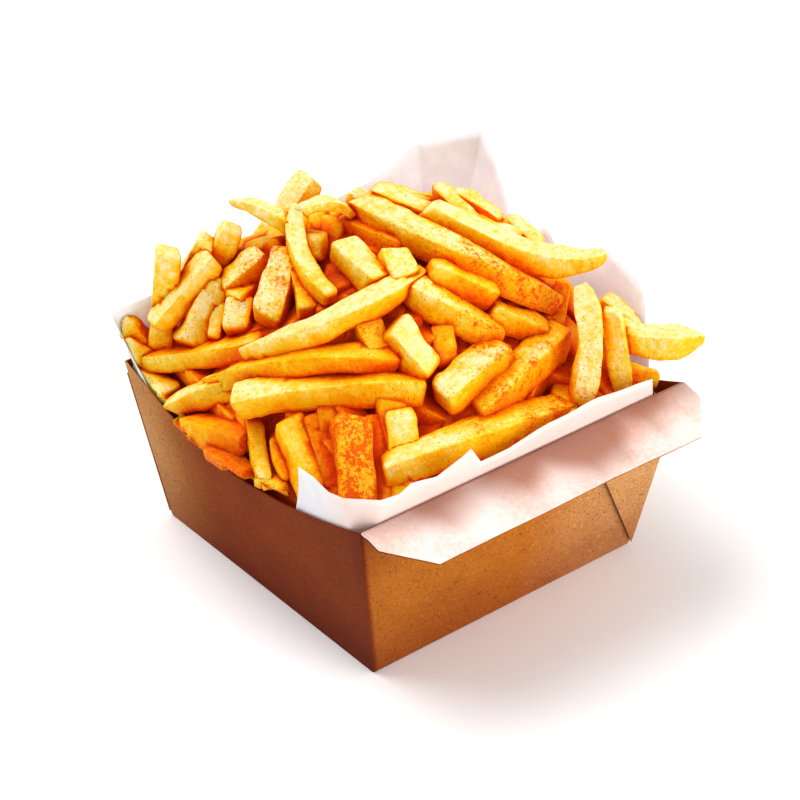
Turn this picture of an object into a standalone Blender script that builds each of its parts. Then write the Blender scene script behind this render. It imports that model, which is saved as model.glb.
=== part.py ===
"""French fries heaped in a folded kraft card carton with a greaseproof paper liner.

Metres, +Z up. The origin is the middle of the carton's underside, +X runs along the front wall and the
front flap folds out towards -Y. Sizes below are in millimetres and are turned to metres by MM.
"""

import math
import random

import bmesh
import bpy
from mathutils import Matrix, Vector

MM = 0.001
SEED = 41

# The carton: one blank of card, folded up from a nearly square base
BASE_X, BASE_Y = 104.5, 102.4
HEIGHT = 60.0
FLARE_X, FLARE_Y = 11.65, 6.35
CARD = 0.5
SIDE_DIP, DIP_MIDDLE = 15.5, 10.0
FOLD_RADIUS = 0.9
RIM_CUTS = 15
WEB_TOP, WEB_GAP = 43.0, 0.35
WEB_DROP, WEB_FOOT = 5.0, 1.5

# The front flap, which folds along the top of the front wall
FLAP_OUT, FLAP_CHAMFER_X, FLAP_CHAMFER_Y = 20.6, 12.0, 12.6
FLAP_DROOP = 13.0
FOLD_CLEARANCE = 0.5

# The paper liner, a sheet pressed into the carton with its edge standing above the rim
PAPER = 0.35
PAPER_GAP = 0.4
PAPER_CORNER = 5.0
PAPER_STEP = 7.0
PAPER_ROWS = 6
PAPER_STRAY, STRAY_START, STRAY_REACH = 0.3, 36.0, 20.0
RIM_GAP = 1.0
COLLAR_REACH = 40.0

# The heap: its surface, and the fries that show, all cut about alike
HEAP_RISE, HEAP_FOOT, HEAP_DIP, HEAP_HALF = 46.0, 55.0, 4.0, 63.0
LEFT_FULLNESS, RIGHT_FULLNESS = 2.6, 3.6
FRONT_LEVEL, FRONT_START, FRONT_REACH = 0.10, -60.0, 66.0
BACK_EASE, BACK_START, BACK_REACH = 0.14, 6.0, 50.0
REAR_FALL, REAR_START, REAR_REACH, REAR_LEFT, REAR_BLEND = 0.44, 34.0, 20.0, -38.0, 24.0
CORE_DROP = 4.5
CORE_GAP = 1.0
CORE_BOTTOM, CORE_SHOULDER = 2.6, 50.0
CORE_CUTS_X, CORE_CUTS_Y = 15, 13
FRY_SEGMENTS = 4
FRY_CHAMFER = 0.16
THICK, REGULAR, SLIM, THIN = 9.6, 8.6, 7.2, 5.4
UNEVEN = 0.07
SHORTEST, LONGEST = 34.0, 58.0
FACING_BACK = 0.32
FILLING_TRIES = 1200
FILL_X, FILL_Y = 54.0, 50.0
LIE_X, LIE_Y = 56.0, 51.0
FILLING_BLUNT_START, FILLING_BLUNT_END, FILLING_SQUASH = 0.85, 0.8, 0.95
CLEAR_BEHIND, CLEAR_IN_FRONT = 6.4, 9.5
SUNK = -3.0

# The photograph's viewpoint, by which each fry that it shows is placed: a fry lies on the sight line
# through its pixel, where that line meets the heap
VIEW_AZIMUTH, VIEW_ELEVATION, VIEW_ROLL = -40.644, 33.207, 1.474
VIEW_TARGET = Vector((48.6, 57.8, 0.0))
VIEW_DISTANCE = 894.6
VIEW_FOCAL_PIXELS, VIEW_CENTRE_PIXEL = 2600.0, 400.0
SIGHT_HIGH, SIGHT_LOW, SIGHT_STEP = 125.0, 40.0, 0.5


def clear_scene():
    for obj in list(bpy.data.objects):
        bpy.data.objects.remove(obj)


def collection(name):
    made = bpy.data.collections.new(name)
    bpy.context.scene.collection.children.link(made)
    return made


def material(name, colour, roughness):
    made = bpy.data.materials.new(name)
    made.use_nodes = True
    shader = made.node_tree.nodes["Principled BSDF"]
    shader.inputs["Base Color"].default_value = (*colour, 1.0)
    shader.inputs["Roughness"].default_value = roughness
    return made


def object_from(bm, name, home, finish=None):
    """A new object from a bmesh in millimetres, with its mesh in metres."""
    bmesh.ops.scale(bm, vec=(MM, MM, MM), verts=bm.verts)
    mesh = bpy.data.meshes.new(name)
    bm.to_mesh(mesh)
    bm.free()
    if finish:
        mesh.materials.append(finish)
    obj = bpy.data.objects.new(name, mesh)
    home.objects.link(obj)
    return obj


def solidify(obj, thickness, offset):
    shell = obj.modifiers.new("Thickness", "SOLIDIFY")
    shell.thickness = thickness * MM
    shell.offset = offset
    shell.use_even_offset = True
    return shell


def apply_modifiers(obj):
    """Swap the object's mesh for its evaluated one and drop its modifiers."""
    graph = bpy.context.evaluated_depsgraph_get()
    mesh = bpy.data.meshes.new_from_object(obj.evaluated_get(graph))
    obj.modifiers.clear()
    obj.data = mesh


def boolean(obj, operation, other, solver):
    step = obj.modifiers.new(operation.title(), "BOOLEAN")
    step.operation = operation
    step.solver = solver
    if isinstance(other, bpy.types.Collection):
        step.operand_type = "COLLECTION"
        step.collection = other
    else:
        step.object = other
    apply_modifiers(obj)


def smoothstep(value):
    value = min(max(value, 0.0), 1.0)
    return value * value * (3 - 2 * value)


# Carton
def half_x(z):
    return BASE_X / 2 + FLARE_X * z / HEIGHT


def half_y(z):
    return BASE_Y / 2 + FLARE_Y * z / HEIGHT


def side_rim(y):
    """Height of the side walls' rim, which dips in a long curve, lowest a little behind the middle."""
    end = half_y(HEIGHT) - math.copysign(DIP_MIDDLE, y - DIP_MIDDLE)
    along = min(abs(y - DIP_MIDDLE) / end, 1.0)
    return HEIGHT - SIDE_DIP * (1 - along**1.8)


def build_carton(home, finish):
    bm = bmesh.new()
    bmesh.ops.create_cube(bm, size=2)
    for vert in bm.verts:
        z = HEIGHT if vert.co.z > 0 else 0.0
        vert.co = Vector((math.copysign(half_x(z), vert.co.x), math.copysign(half_y(z), vert.co.y), z))
    lid = [face for face in bm.faces if face.normal.z > 0.9]
    bmesh.ops.delete(bm, geom=lid, context="FACES_ONLY")
    folds = [edge for edge in bm.edges if len(edge.link_faces) == 2]
    bmesh.ops.bevel(
        bm, geom=folds, offset=FOLD_RADIUS, segments=2, profile=0.5, affect="EDGES", material=-1
    )
    rims = [
        edge
        for edge in bm.edges
        if all(v.co.z > HEIGHT - 1 for v in edge.verts) and edge.calc_length() > BASE_Y / 2
        if abs(edge.verts[0].co.x - edge.verts[1].co.x) < 1
    ]
    cut = bmesh.ops.subdivide_edges(bm, edges=rims, cuts=RIM_CUTS)
    for vert in (item for item in cut["geom_split"] if isinstance(item, bmesh.types.BMVert)):
        z = side_rim(vert.co.y)
        vert.co.x = math.copysign(half_x(z), vert.co.x)
        vert.co.z = z
    bmesh.ops.recalc_face_normals(bm, faces=bm.faces)
    carton = object_from(bm, "carton", home, finish)
    solidify(carton, CARD, -1)
    apply_modifiers(carton)
    return carton


def build_web(home, name, turned):
    """The corner's spare triangle of card, folded flat on the outside of the end wall."""
    foot, top = Vector((half_x(0), -half_y(0), 0)), Vector((half_x(HEIGHT), -half_y(HEIGHT), HEIGHT))
    lean = (top - foot).normalized()
    outward = Vector((1, 0, 0)).cross(lean).normalized()
    reach = 1 - WEB_DROP / (top - foot).length
    upper = [foot + (end - foot) * reach for end in (top, top - Vector((WEB_TOP, 0, 0)))]
    corners = [foot + lean * WEB_FOOT, *upper]
    bm = bmesh.new()
    face = bm.faces.new([bm.verts.new(corner - outward * (CARD * 0.5)) for corner in corners])
    raised = bmesh.ops.extrude_face_region(bm, geom=[face])
    verts = [item for item in raised["geom"] if isinstance(item, bmesh.types.BMVert)]
    bmesh.ops.translate(bm, vec=outward * (CARD * 1.5 + WEB_GAP), verts=verts)
    bmesh.ops.recalc_face_normals(bm, faces=bm.faces)
    if turned:
        bmesh.ops.rotate(bm, cent=(0, 0, 0), matrix=Matrix.Rotation(math.pi, 3, "Z"), verts=bm.verts)
    return object_from(bm, name, home)


# Front flap
def build_flap(home, finish):
    """A chamfered strip of card on its fold line, drooping a little below level."""
    half = half_x(HEIGHT) - 0.3
    outline = [
        (-half, -FOLD_CLEARANCE),
        (-half, -(FLAP_OUT - FLAP_CHAMFER_Y)),
        (-half + FLAP_CHAMFER_X, -FLAP_OUT),
        (half - FLAP_CHAMFER_X, -FLAP_OUT),
        (half, -(FLAP_OUT - FLAP_CHAMFER_Y)),
        (half, -FOLD_CLEARANCE),
    ]
    curve = bpy.data.curves.new("front_flap", "CURVE")
    curve.dimensions = "2D"
    curve.fill_mode = "BOTH"
    curve.extrude = CARD * MM / 2
    curve.materials.append(finish)
    line = curve.splines.new("POLY")
    line.points.add(len(outline) - 1)
    for point, (x, y) in zip(line.points, outline):
        point.co = (x * MM, y * MM, 0.0, 1.0)
    line.use_cyclic_u = True
    flap = bpy.data.objects.new("front_flap", curve)
    flap.location = (0, -half_y(HEIGHT) * MM, HEIGHT * MM)
    flap.rotation_euler = (math.radians(FLAP_DROOP), 0, 0)
    home.objects.link(flap)
    return flap


# Paper liner: each stop is a wall, the place along it and the height of the paper's edge there
FRONT, RIGHT, BACK, LEFT = range(4)
PAPER_EDGE = [
    (FRONT, -57, 69), (FRONT, -50, 68), (FRONT, -46, 70), (FRONT, -36, 68), (FRONT, -27, 71),
    (FRONT, -24, 72.5), (FRONT, -19, 65.5), (FRONT, -8, 65.5), (FRONT, 7, 68.5), (FRONT, 27, 69),
    (FRONT, 44, 67.5), (FRONT, 50, 66.5), (FRONT, 52, 58), (FRONT, 58, 52),
    (RIGHT, -53, 50), (RIGHT, -47, 62), (RIGHT, -42, 70), (RIGHT, -33, 80), (RIGHT, -27, 83.5),
    (RIGHT, -16, 87.5), (RIGHT, -12, 82), (RIGHT, 0, 75), (RIGHT, 5, 78), (RIGHT, 10.5, 83),
    (RIGHT, 16, 78), (RIGHT, 28, 79), (RIGHT, 35, 88), (RIGHT, 40, 94), (RIGHT, 48, 101.5),
    (BACK, 58, 95), (BACK, 49, 91.5), (BACK, 36, 88.5), (BACK, 25, 87), (BACK, -13, 81.5),
    (BACK, -46, 78.5), (BACK, -62, 78),
    (LEFT, 54, 63), (LEFT, 50, 58), (LEFT, 44, 46), (LEFT, 30, 40), (LEFT, -8, 38), (LEFT, -22, 42),
    (LEFT, -28, 58), (LEFT, -31, 69), (LEFT, -38, 69.5), (LEFT, -45, 68), (LEFT, -52, 70),
]  # fmt: skip


def wall_place(wall, along, z, inset):
    """A point on a wall's inner face, moved inwards by inset, its corners rounded."""
    across_x = half_x(z) - CARD - inset
    across_y = half_y(z) - CARD - inset
    x, y = {
        FRONT: (along, -across_y),
        RIGHT: (across_x, along),
        BACK: (along, across_y),
        LEFT: (-across_x, along),
    }[wall]
    inner_x, inner_y = across_x - PAPER_CORNER, across_y - PAPER_CORNER
    x = min(max(x, -across_x), across_x)
    y = min(max(y, -across_y), across_y)
    over = Vector((max(abs(x) - inner_x, 0), max(abs(y) - inner_y, 0)))
    if over.x > 0 and over.y > 0:
        over = over.normalized() * PAPER_CORNER
        x = math.copysign(inner_x + over.x, x)
        y = math.copysign(inner_y + over.y, y)
    return Vector((x, y, z))


def edge_stations():
    """The paper edge's stops with more between them, evenly spread along each stretch."""
    stations = []
    for start, stop in zip(PAPER_EDGE, PAPER_EDGE[1:] + PAPER_EDGE[:1]):
        if start[0] != stop[0]:
            stations.append(start)
            continue
        count = max(1, round(abs(stop[1] - start[1]) / PAPER_STEP))
        for step in range(count):
            share = step / count
            place = start[1] + (stop[1] - start[1]) * share
            stations.append((start[0], place, start[2] + (stop[2] - start[2]) * share))
    return stations


def paper_lean(wall, along, z):
    """How far the paper leans out of its wall's plane above the rim, in soft waves."""
    rise = max(z - HEIGHT, 0.0)
    wave = 0.5 + 0.5 * math.sin(along * 0.21 + wall * 1.7)
    return rise * (0.02 + 0.05 * wave)


def paper_point(wall, along, z, inset):
    """A point of the paper. Its loose end at the back left strays sideways, past the carton's corner."""
    place = wall_place(wall, along, z, inset - paper_lean(wall, along, z))
    if wall == BACK:
        stray = smoothstep((-along - STRAY_START) / STRAY_REACH)
        place.x -= PAPER_STRAY * max(z - HEIGHT, 0.0) * stray
    return place


def paper_rows(foot, top):
    """Heights of the paper's rows: half of them below the rim where the edge stands above it."""
    if top <= HEIGHT + 2:
        return [foot + (top - foot) * row / (PAPER_ROWS - 1) for row in range(PAPER_ROWS)]
    half = PAPER_ROWS // 2
    below = [foot + (HEIGHT - foot) * row / half for row in range(half)]
    return below + [HEIGHT + (top - HEIGHT) * row / (half - 1) for row in range(half)]


def build_liner(home, finish):
    bm = bmesh.new()
    foot = CARD + PAPER_GAP
    rings = []
    for wall, along, top in edge_stations():
        heights = paper_rows(foot, top)
        rings.append([bm.verts.new(paper_point(wall, along, z, PAPER_GAP)) for z in heights])
    for ring, following in zip(rings, rings[1:] + rings[:1]):
        for row in range(PAPER_ROWS - 1):
            bm.faces.new((ring[row], following[row], following[row + 1], ring[row + 1]))
    bm.faces.new([ring[0] for ring in reversed(rings)])
    bmesh.ops.recalc_face_normals(bm, faces=bm.faces)
    liner = object_from(bm, "liner", home, finish)
    solidify(liner, PAPER, -1)
    return liner


def build_keep_out(home):
    """A thick collar round the heap: what a fry may not enter, from the paper's inner face outwards."""
    bm = bmesh.new()
    inset = PAPER_GAP + PAPER + CORE_GAP
    rings = []
    for wall, along, top in edge_stations():
        rim = side_rim(along) if wall in (LEFT, RIGHT) else HEIGHT
        heights = paper_rows(-1.0, max(top, rim) + RIM_GAP)
        inner = [paper_point(wall, along, z, inset) for z in heights]
        outward = Vector((inner[-1].x / half_x(HEIGHT), inner[-1].y / half_y(HEIGHT), 0)).normalized()
        outer = [inner[-1] + outward * COLLAR_REACH, inner[0] + outward * COLLAR_REACH]
        rings.append([bm.verts.new(place) for place in inner + outer])
    for ring, following in zip(rings, rings[1:] + rings[:1]):
        for corner in range(len(ring)):
            other = (corner + 1) % len(ring)
            bm.faces.new((ring[corner], following[corner], following[other], ring[other]))
    bmesh.ops.recalc_face_normals(bm, faces=bm.faces)
    collar = object_from(bm, "keep_out", home)
    collar.hide_render = True
    collar.display_type = "WIRE"
    return collar


# Sight lines
def view_axes():
    """The viewpoint, and the unit vectors back to it, to its right and up."""
    azimuth, elevation = math.radians(VIEW_AZIMUTH), math.radians(VIEW_ELEVATION)
    back = Vector(
        (
            math.sin(azimuth) * math.cos(elevation),
            -math.cos(azimuth) * math.cos(elevation),
            math.sin(elevation),
        )
    )
    right = Vector((math.cos(azimuth), math.sin(azimuth), 0))
    turn = Matrix.Rotation(math.radians(VIEW_ROLL), 3, back)
    return VIEW_TARGET + back * VIEW_DISTANCE, back, turn @ right, turn @ back.cross(right)


EYE, BACKWARD, SIGHT_RIGHT, SIGHT_UP = view_axes()


def at_height(u, v, z):
    """Where the sight line through pixel (u, v) is z high."""
    line = (
        SIGHT_RIGHT * (u - VIEW_CENTRE_PIXEL)
        - SIGHT_UP * (v - VIEW_CENTRE_PIXEL)
        - BACKWARD * VIEW_FOCAL_PIXELS
    )
    return EYE + line * ((z - EYE.z) / line.z)


def heap_height(x, y):
    """The heap's mean surface: low at the rim, steep at the sides and highest behind the middle."""
    fullness = LEFT_FULLNESS if x < 0 else RIGHT_FULLNESS
    side = max(1 - abs(x / HEAP_HALF) ** fullness, 0.0)
    front = FRONT_LEVEL + (1 - FRONT_LEVEL) * smoothstep((y - FRONT_START) / FRONT_REACH)
    back = 1 - BACK_EASE * min(max((y - BACK_START) / BACK_REACH, 0.0), 1.0) ** 2
    back -= REAR_FALL * smoothstep((y - REAR_START) / REAR_REACH) * smoothstep((x - REAR_LEFT) / REAR_BLEND)
    foot = HEAP_FOOT - HEAP_DIP * smoothstep(-x / HEAP_HALF)
    return foot + HEAP_RISE * side * front * back


def on_heap(u, v, lift):
    """Where the sight line through pixel (u, v) comes down to the heap's surface raised by lift."""
    z = SIGHT_HIGH
    while z > SIGHT_LOW:
        spot = at_height(u, v, z)
        if spot.z <= heap_height(spot.x, spot.y) + lift:
            return spot
        z -= SIGHT_STEP
    raise ValueError(f"the sight line at {u}, {v} misses the heap")


class At:
    """An end or a middle of a fry: its pixel, with its lift above the heap or its own height."""

    def __init__(self, u, v, lift=0.0, height=None):
        self.place = on_heap(u, v, lift) if height is None else at_height(u, v, height)


# The fries that the photograph shows: start, end, middle, width, thickness and how blunt each end is
def shown_fries():
    at = At
    return [
        ("front_log", at(236, 402, 3), at(424, 391, 0), at(330, 390, 3), THICK, 9.0, 0.9, 0.85),
        ("white_tipped", at(160, 410, 1), at(300, 366, -2), at(228, 386, 1), REGULAR, 7.5, 0.35, 0.9),
        ("arched_paprika", at(212, 385, 1), at(396, 360, 0), at(300, 361, 3), 8.0, 6.5, 0.8, 0.8),
        ("flat_left", at(126, 360, 1), at(264, 344, -1), at(190, 357, 0), REGULAR, 6.5, 0.5, 0.9),
        ("long_diagonal", at(246, 355, 4), at(424, 271, 3), at(338, 320, 5), 7.8, SLIM, 0.85, 0.45),
        ("thin_twist", at(254, 418, 0), at(268, 492, 1), at(258, 450, 0), THIN, 5.0, 0.8, 0.5),
        ("rim_stub", at(258, 482, 0), at(286, 490, 0), None, 6.0, THIN, 0.85, 0.85),
        ("thin_blade", at(272, 438, 0), at(287, 480, 1), None, 4.0, 2.8, 0.3, 0.4),
        ("tan_leaning", at(288, 424, -2), at(318, 494, -2), None, 10.0, 9.0, 0.85, 0.9),
        ("dark_leaning", at(313, 418, -5), at(334, 490, -6), None, 8.0, 8.0, 0.85, 0.9),
        ("paprika_upright", at(350, 419, 2), at(359, 505, 0), None, 11.0, THICK, 0.9, 1.0),
        ("behind_upright", at(372, 416, -4), at(388, 500, -5), None, 8.0, 8.0, 0.85, 0.9),
        ("pale_upright", at(398, 410, 0), at(405, 470, -3), None, THICK, 8.4, 0.85, 0.9),
        ("front_right_long", at(382, 474, 1), at(574, 405, -2), at(470, 441, 1), 10.2, 10.0, 0.8, 0.6),
        ("stubby_pale", at(441, 400, 4), at(503, 350, 3), None, 10.6, 10.0, 0.8, 0.9),
        ("right_diagonal", at(474, 414, 0), at(562, 334, 3), at(518, 374, 3), 10.4, THICK, 0.9, 0.8),
        ("pale_centre", at(391, 325, 2), at(426, 376, 0), None, 10.0, THICK, 0.85, 0.9),
        ("small_dark", at(440, 326, -2), at(446, 368, -4), None, SLIM, 7.0, 0.85, 0.85),
        ("centre_diagonal", at(410, 287, 3), at(500, 340, 1), at(452, 313, 3), 9.4, 9.2, 0.7, 0.8),
        ("short_yellow", at(428, 271, 5), at(492, 295, 4), None, 9.2, 9.0, 0.8, 0.9),
        ("right_of_centre", at(488, 312, 2), at(544, 334, 1), None, REGULAR, 8.2, 0.85, 0.85),
        ("long_paprika", at(360, 207, 5), at(556, 304, 2), at(455, 255, 6), 9.4, 9.0, 0.85, 0.8),
        ("top_right_long", at(426, 208, 9), at(606, 254, 0, 96), at(530, 257, 10), 9.0, 8.4, 0.8, 0.35),
        ("top_yellow", at(374, 192, 0, 108), at(432, 220, 5), None, 7.6, 7.6, 0.6, 0.8),
        ("pale_end", at(350, 198, 0, 104), at(385, 216, 2), None, 7.6, SLIM, 0.85, 0.85),
        ("top_thin", at(436, 186, 0, 106), at(480, 234, 6), None, THIN, 5.0, 0.7, 0.6),
        ("top_small", at(454, 191, 0, 101), at(500, 222, 0, 98), None, THIN, THIN, 0.6, 0.6),
        ("top_small_low", at(472, 208, 0, 98), at(502, 234, 0, 94), None, 6.0, 6.0, 0.85, 0.85),
        ("right_back", at(504, 219, 0, 92), at(540, 248, 0, 88), None, 6.6, 6.4, 0.6, 0.6),
        ("horn", at(230, 202, 0, 104), at(300, 236, 4), at(268, 212, 0, 108), THIN, 4.6, 0.2, 0.9),
        ("hook_side", at(303, 208, 0, 110), at(332, 300, 2), at(298, 250, 6), 6.0, THIN, 0.85, 0.85),
        ("hook_top", at(354, 216, 4), at(299, 212, 0, 110), at(328, 203, 0, 110), 4.8, 4.8, 0.8, 0.9),
        ("tall_back", at(262, 250, 0), at(313, 176, 0, 106), None, 9.0, REGULAR, 0.85, 0.9),
        ("upright_far_left", at(168, 249, 0, 98), at(163, 345, 0), None, 8.2, 8.0, 0.9, 0.9),
        ("upright_behind", at(208, 240, 0, 98), at(182, 290, -2), None, SLIM, 7.0, 0.85, 0.85),
        ("upright_yellow", at(233, 226, 0, 102), at(206, 285, -1), None, 7.6, 7.4, 0.85, 0.85),
        ("left_back_long", at(217, 260, 0, 94), at(158, 328, 0, 75), None, 9.2, 9.0, 0.8, 0.7),
        ("spotted_lean", at(219, 282, 2), at(188, 348, 0), None, 9.4, 9.0, 0.85, 0.85),
        ("left_wedge", at(116, 313, 0, 76), at(148, 350, 1), None, SLIM, 6.0, 0.3, 0.9),
        ("left_low", at(117, 341, 0, 66), at(150, 356, 0), None, SLIM, 7.0, 0.85, 0.85),
        ("left_pale_low", at(134, 373, 0), at(172, 398, -1), None, 8.8, 8.4, 0.85, 0.85),
        ("paprika_back_left", at(264, 256, 3), at(226, 296, 1), None, THICK, 9.2, 0.85, 0.85),
        ("paprika_wide", at(290, 258, 3), at(263, 320, 1), None, 10.6, THICK, 0.85, 0.85),
        ("small_stub", at(241, 300, 0), at(237, 334, -1), None, 8.4, 8.0, 0.85, 0.85),
        ("centre_narrow", at(300, 268, 0), at(307, 314, -1), None, 6.2, 6.0, 0.85, 0.85),
        ("pale_thin", at(222, 302, 1), at(214, 340, 0), None, 4.6, 4.6, 0.85, 0.85),
        ("mid_pale", at(341, 246, 4), at(380, 286, 2), None, 9.0, REGULAR, 0.85, 0.85),
        ("mid_stub", at(388, 254, 3), at(404, 282, 2), None, THICK, 9.0, 0.85, 0.85),
        ("mid_orange", at(346, 222, 0), at(404, 250, 0), None, REGULAR, REGULAR, 0.85, 0.85),
        ("mid_paprika_end", at(364, 320, -1), at(376, 354, -2), None, REGULAR, REGULAR, 0.85, 0.85),
        ("right_upright", at(583, 286, 0, 92), at(578, 404, 1), at(590, 345, 0, 80), 8.4, REGULAR, 0.7, 0.8),
        ("second_right_upright", at(611, 308, 0, 88), at(621, 388, 1), None, REGULAR, 8.2, 0.85, 0.85),
        ("right_behind", at(600, 300, 0, 76), at(640, 332, 0, 68), None, 7.6, 7.4, 0.85, 0.85),
        ("far_right_long", at(612, 332, 0, 77), at(704, 337, 0, 74), at(660, 342, 0, 75), 9.0, 8.4, 0.9, 0.3),
        ("right_small", at(624, 373, 1), at(658, 379, 3), None, 6.0, 5.0, 0.85, 0.85),
        ("strip_right", at(562, 282, 0, 84), at(557, 330, 0), None, 5.2, 5.0, 0.85, 0.85),
        ("low_orange", at(190, 427, 0), at(250, 440, -1), None, 9.2, REGULAR, 0.85, 0.85),
        ("low_rim", at(172, 420, -1), at(205, 447, -2), None, 6.6, 6.0, 0.85, 0.85),
        ("rim_red", at(212, 452, -1), at(252, 480, -2), None, 8.0, SLIM, 0.85, 0.85),
    ]  # fmt: skip


def unit_fry():
    """A bar from 0 to 1 along X and -1 to 1 across, chamfered and cut into short lengths."""
    bm = bmesh.new()
    bmesh.ops.create_cube(bm, size=2)
    for vert in bm.verts:
        vert.co.x = (vert.co.x + 1) / 2
    long_edges = [edge for edge in bm.edges if abs(edge.verts[0].co.x - edge.verts[1].co.x) > 0.5]
    bmesh.ops.subdivide_edges(bm, edges=long_edges, cuts=FRY_SEGMENTS - 1, use_grid_fill=True)
    corners = [
        edge
        for edge in bm.edges
        if abs(edge.verts[0].co.x - edge.verts[1].co.x) > 0.05
        and all(abs(abs(v.co.y) - 1) < 1e-4 and abs(abs(v.co.z) - 1) < 1e-4 for v in edge.verts)
    ]
    bmesh.ops.bevel(
        bm, geom=corners, offset=FRY_CHAMFER * 2, segments=1, profile=0.5, affect="EDGES", material=-1
    )
    bmesh.ops.recalc_face_normals(bm, faces=bm.faces)
    mesh = bpy.data.meshes.new("unit_fry")
    bm.to_mesh(mesh)
    bm.free()
    return mesh


def end_width(share, blunt_start, blunt_end):
    """The section's scale along a fry, which draws in towards a pointed end over half of its length."""
    scale = 1.0
    for way, blunt in ((share, blunt_start), (1 - share, blunt_end)):
        reach = 0.26 + 0.3 * (1 - blunt)
        if way < reach:
            scale *= blunt + (1 - blunt) * math.sin(math.pi / 2 * way / reach)
    return scale


def build_fry(unit, home, name, start, end, middle, width, thickness, blunt_start, blunt_end, unevenness):
    """A bent bar through three places, each end as blunt as it says and its sides a little uneven."""
    middle = middle or (start + end) / 2
    control = middle * 2 - (start + end) / 2
    chord = (end - start).normalized()
    reference = Vector((0, 0, 1)) if abs(chord.z) < 0.75 else Vector((BACKWARD.x, BACKWARD.y, 0)).normalized()
    bm = bmesh.new()
    bm.from_mesh(unit)
    swell = [1 + unevenness.uniform(-UNEVEN, UNEVEN) for _ in range(FRY_SEGMENTS + 1)]
    for vert in bm.verts:
        share = vert.co.x
        centre = start * (1 - share) ** 2 + control * (2 * share * (1 - share)) + end * share**2
        along = ((control - start) * (1 - share) + (end - control) * share).normalized()
        side = reference.cross(along).normalized()
        top = along.cross(side)
        scale = end_width(share, blunt_start, blunt_end) * swell[round(share * FRY_SEGMENTS)]
        vert.co = centre + side * (vert.co.y * width / 2 * scale) + top * (vert.co.z * thickness / 2 * scale)
    bmesh.ops.recalc_face_normals(bm, faces=bm.faces)
    return object_from(bm, name, home)


def faces_away(x, y):
    """Whether the heap's surface at (x, y) is turned from the viewpoint, where no shown fry lies."""
    step = 2.0
    slope_x = (heap_height(x + step, y) - heap_height(x - step, y)) / (2 * step)
    slope_y = (heap_height(x, y + step) - heap_height(x, y - step)) / (2 * step)
    return Vector((-slope_x, -slope_y, 1)).normalized().dot(BACKWARD) < FACING_BACK


def near_a_fry(x, y, runs, clear):
    """Whether a fry already placed passes within that distance of the heap's surface at (x, y)."""
    spot = Vector((x, y, heap_height(x, y)))
    for start, middle, end in runs:
        for here, there in ((start, middle), (middle, end)):
            along = there - here
            share = (spot - here).dot(along) / max(along.length_squared, 1.0)
            if (here + along * min(max(share, 0), 1) - spot).length < clear:
                return True
    return False


def lying_fry(draw, x, y, lift):
    """A fry on the heap at (x, y), turned anyhow, its ends following the surface."""
    length = draw.uniform(SHORTEST, LONGEST)
    heading = draw.uniform(0, math.pi)
    run = Vector((math.cos(heading), math.sin(heading), 0)) * (length / 2)
    ends = []
    for sign in (-1, 1):
        spot = Vector((x, y, 0)) + run * sign
        spot.x = min(max(spot.x, -LIE_X), LIE_X)
        spot.y = min(max(spot.y, -LIE_Y), LIE_Y)
        spot.z = heap_height(spot.x, spot.y) + lift + draw.uniform(-1, 2)
        ends.append(spot)
    middle = (ends[0] + ends[1]) / 2
    middle.z = max(middle.z, heap_height(x, y) + lift - 3)
    return ends[0], ends[1], middle


def build_heap(home, scrap, finish, keep_out):
    """The core with every fry fused on, cut back to what the paper and the rim leave free."""
    draw = random.Random(SEED)
    unit = unit_fry()
    runs = []
    for name, start, end, middle, width, thickness, blunt_start, blunt_end in shown_fries():
        build_fry(
            unit, scrap, name, start.place, end.place, middle and middle.place,
            width, thickness, blunt_start, blunt_end, draw,
        )  # fmt: skip
        centre = middle.place if middle else (start.place + end.place) / 2
        runs.append((start.place, centre, end.place))
    for number in range(FILLING_TRIES):
        x, y = draw.uniform(-FILL_X, FILL_X), draw.uniform(-FILL_Y, FILL_Y)
        behind = faces_away(x, y)
        if near_a_fry(x, y, runs, CLEAR_BEHIND if behind else CLEAR_IN_FRONT):
            continue
        start, end, middle = lying_fry(draw, x, y, draw.uniform(-1, 3) if behind else SUNK)
        size = draw.choice((THICK, REGULAR, SLIM))
        build_fry(
            unit, scrap, f"filling_{number}", start, end, middle, size, size * FILLING_SQUASH,
            FILLING_BLUNT_START, FILLING_BLUNT_END, draw,
        )  # fmt: skip
        runs.append((start, middle, end))
    bpy.data.meshes.remove(unit)
    core = build_core(home, finish)
    boolean(core, "UNION", scrap, "EXACT")
    boolean(core, "DIFFERENCE", keep_out, "MANIFOLD")
    keep_largest(core)
    for obj in list(scrap.objects):
        bpy.data.objects.remove(obj)
    return core


def build_core(home, finish):
    """The heap's closed core: a grid dropped onto the surface, with sloping sides and a flat foot."""
    inset = PAPER_GAP + PAPER + 2 * CORE_GAP
    bm = bmesh.new()
    bmesh.ops.create_grid(bm, x_segments=CORE_CUTS_X, y_segments=CORE_CUTS_Y, size=1)
    rim = [edge for edge in bm.edges if edge.is_boundary]
    for vert in bm.verts:
        x = vert.co.x * (half_x(CORE_SHOULDER) - CARD - inset)
        y = vert.co.y * (half_y(CORE_SHOULDER) - CARD - inset)
        vert.co = Vector((x, y, heap_height(x, y) - CORE_DROP))
    skirt = bmesh.ops.extrude_edge_only(bm, edges=rim)
    lower = [item for item in skirt["geom"] if isinstance(item, bmesh.types.BMVert)]
    for vert in lower:
        vert.co.x *= (half_x(0) - CARD - inset) / (half_x(CORE_SHOULDER) - CARD - inset)
        vert.co.y *= (half_y(0) - CARD - inset) / (half_y(CORE_SHOULDER) - CARD - inset)
        vert.co.z = CORE_BOTTOM
    bmesh.ops.contextual_create(bm, geom=[edge for edge in bm.edges if edge.is_boundary])
    bmesh.ops.recalc_face_normals(bm, faces=bm.faces)
    return object_from(bm, "fries", home, finish)


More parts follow.
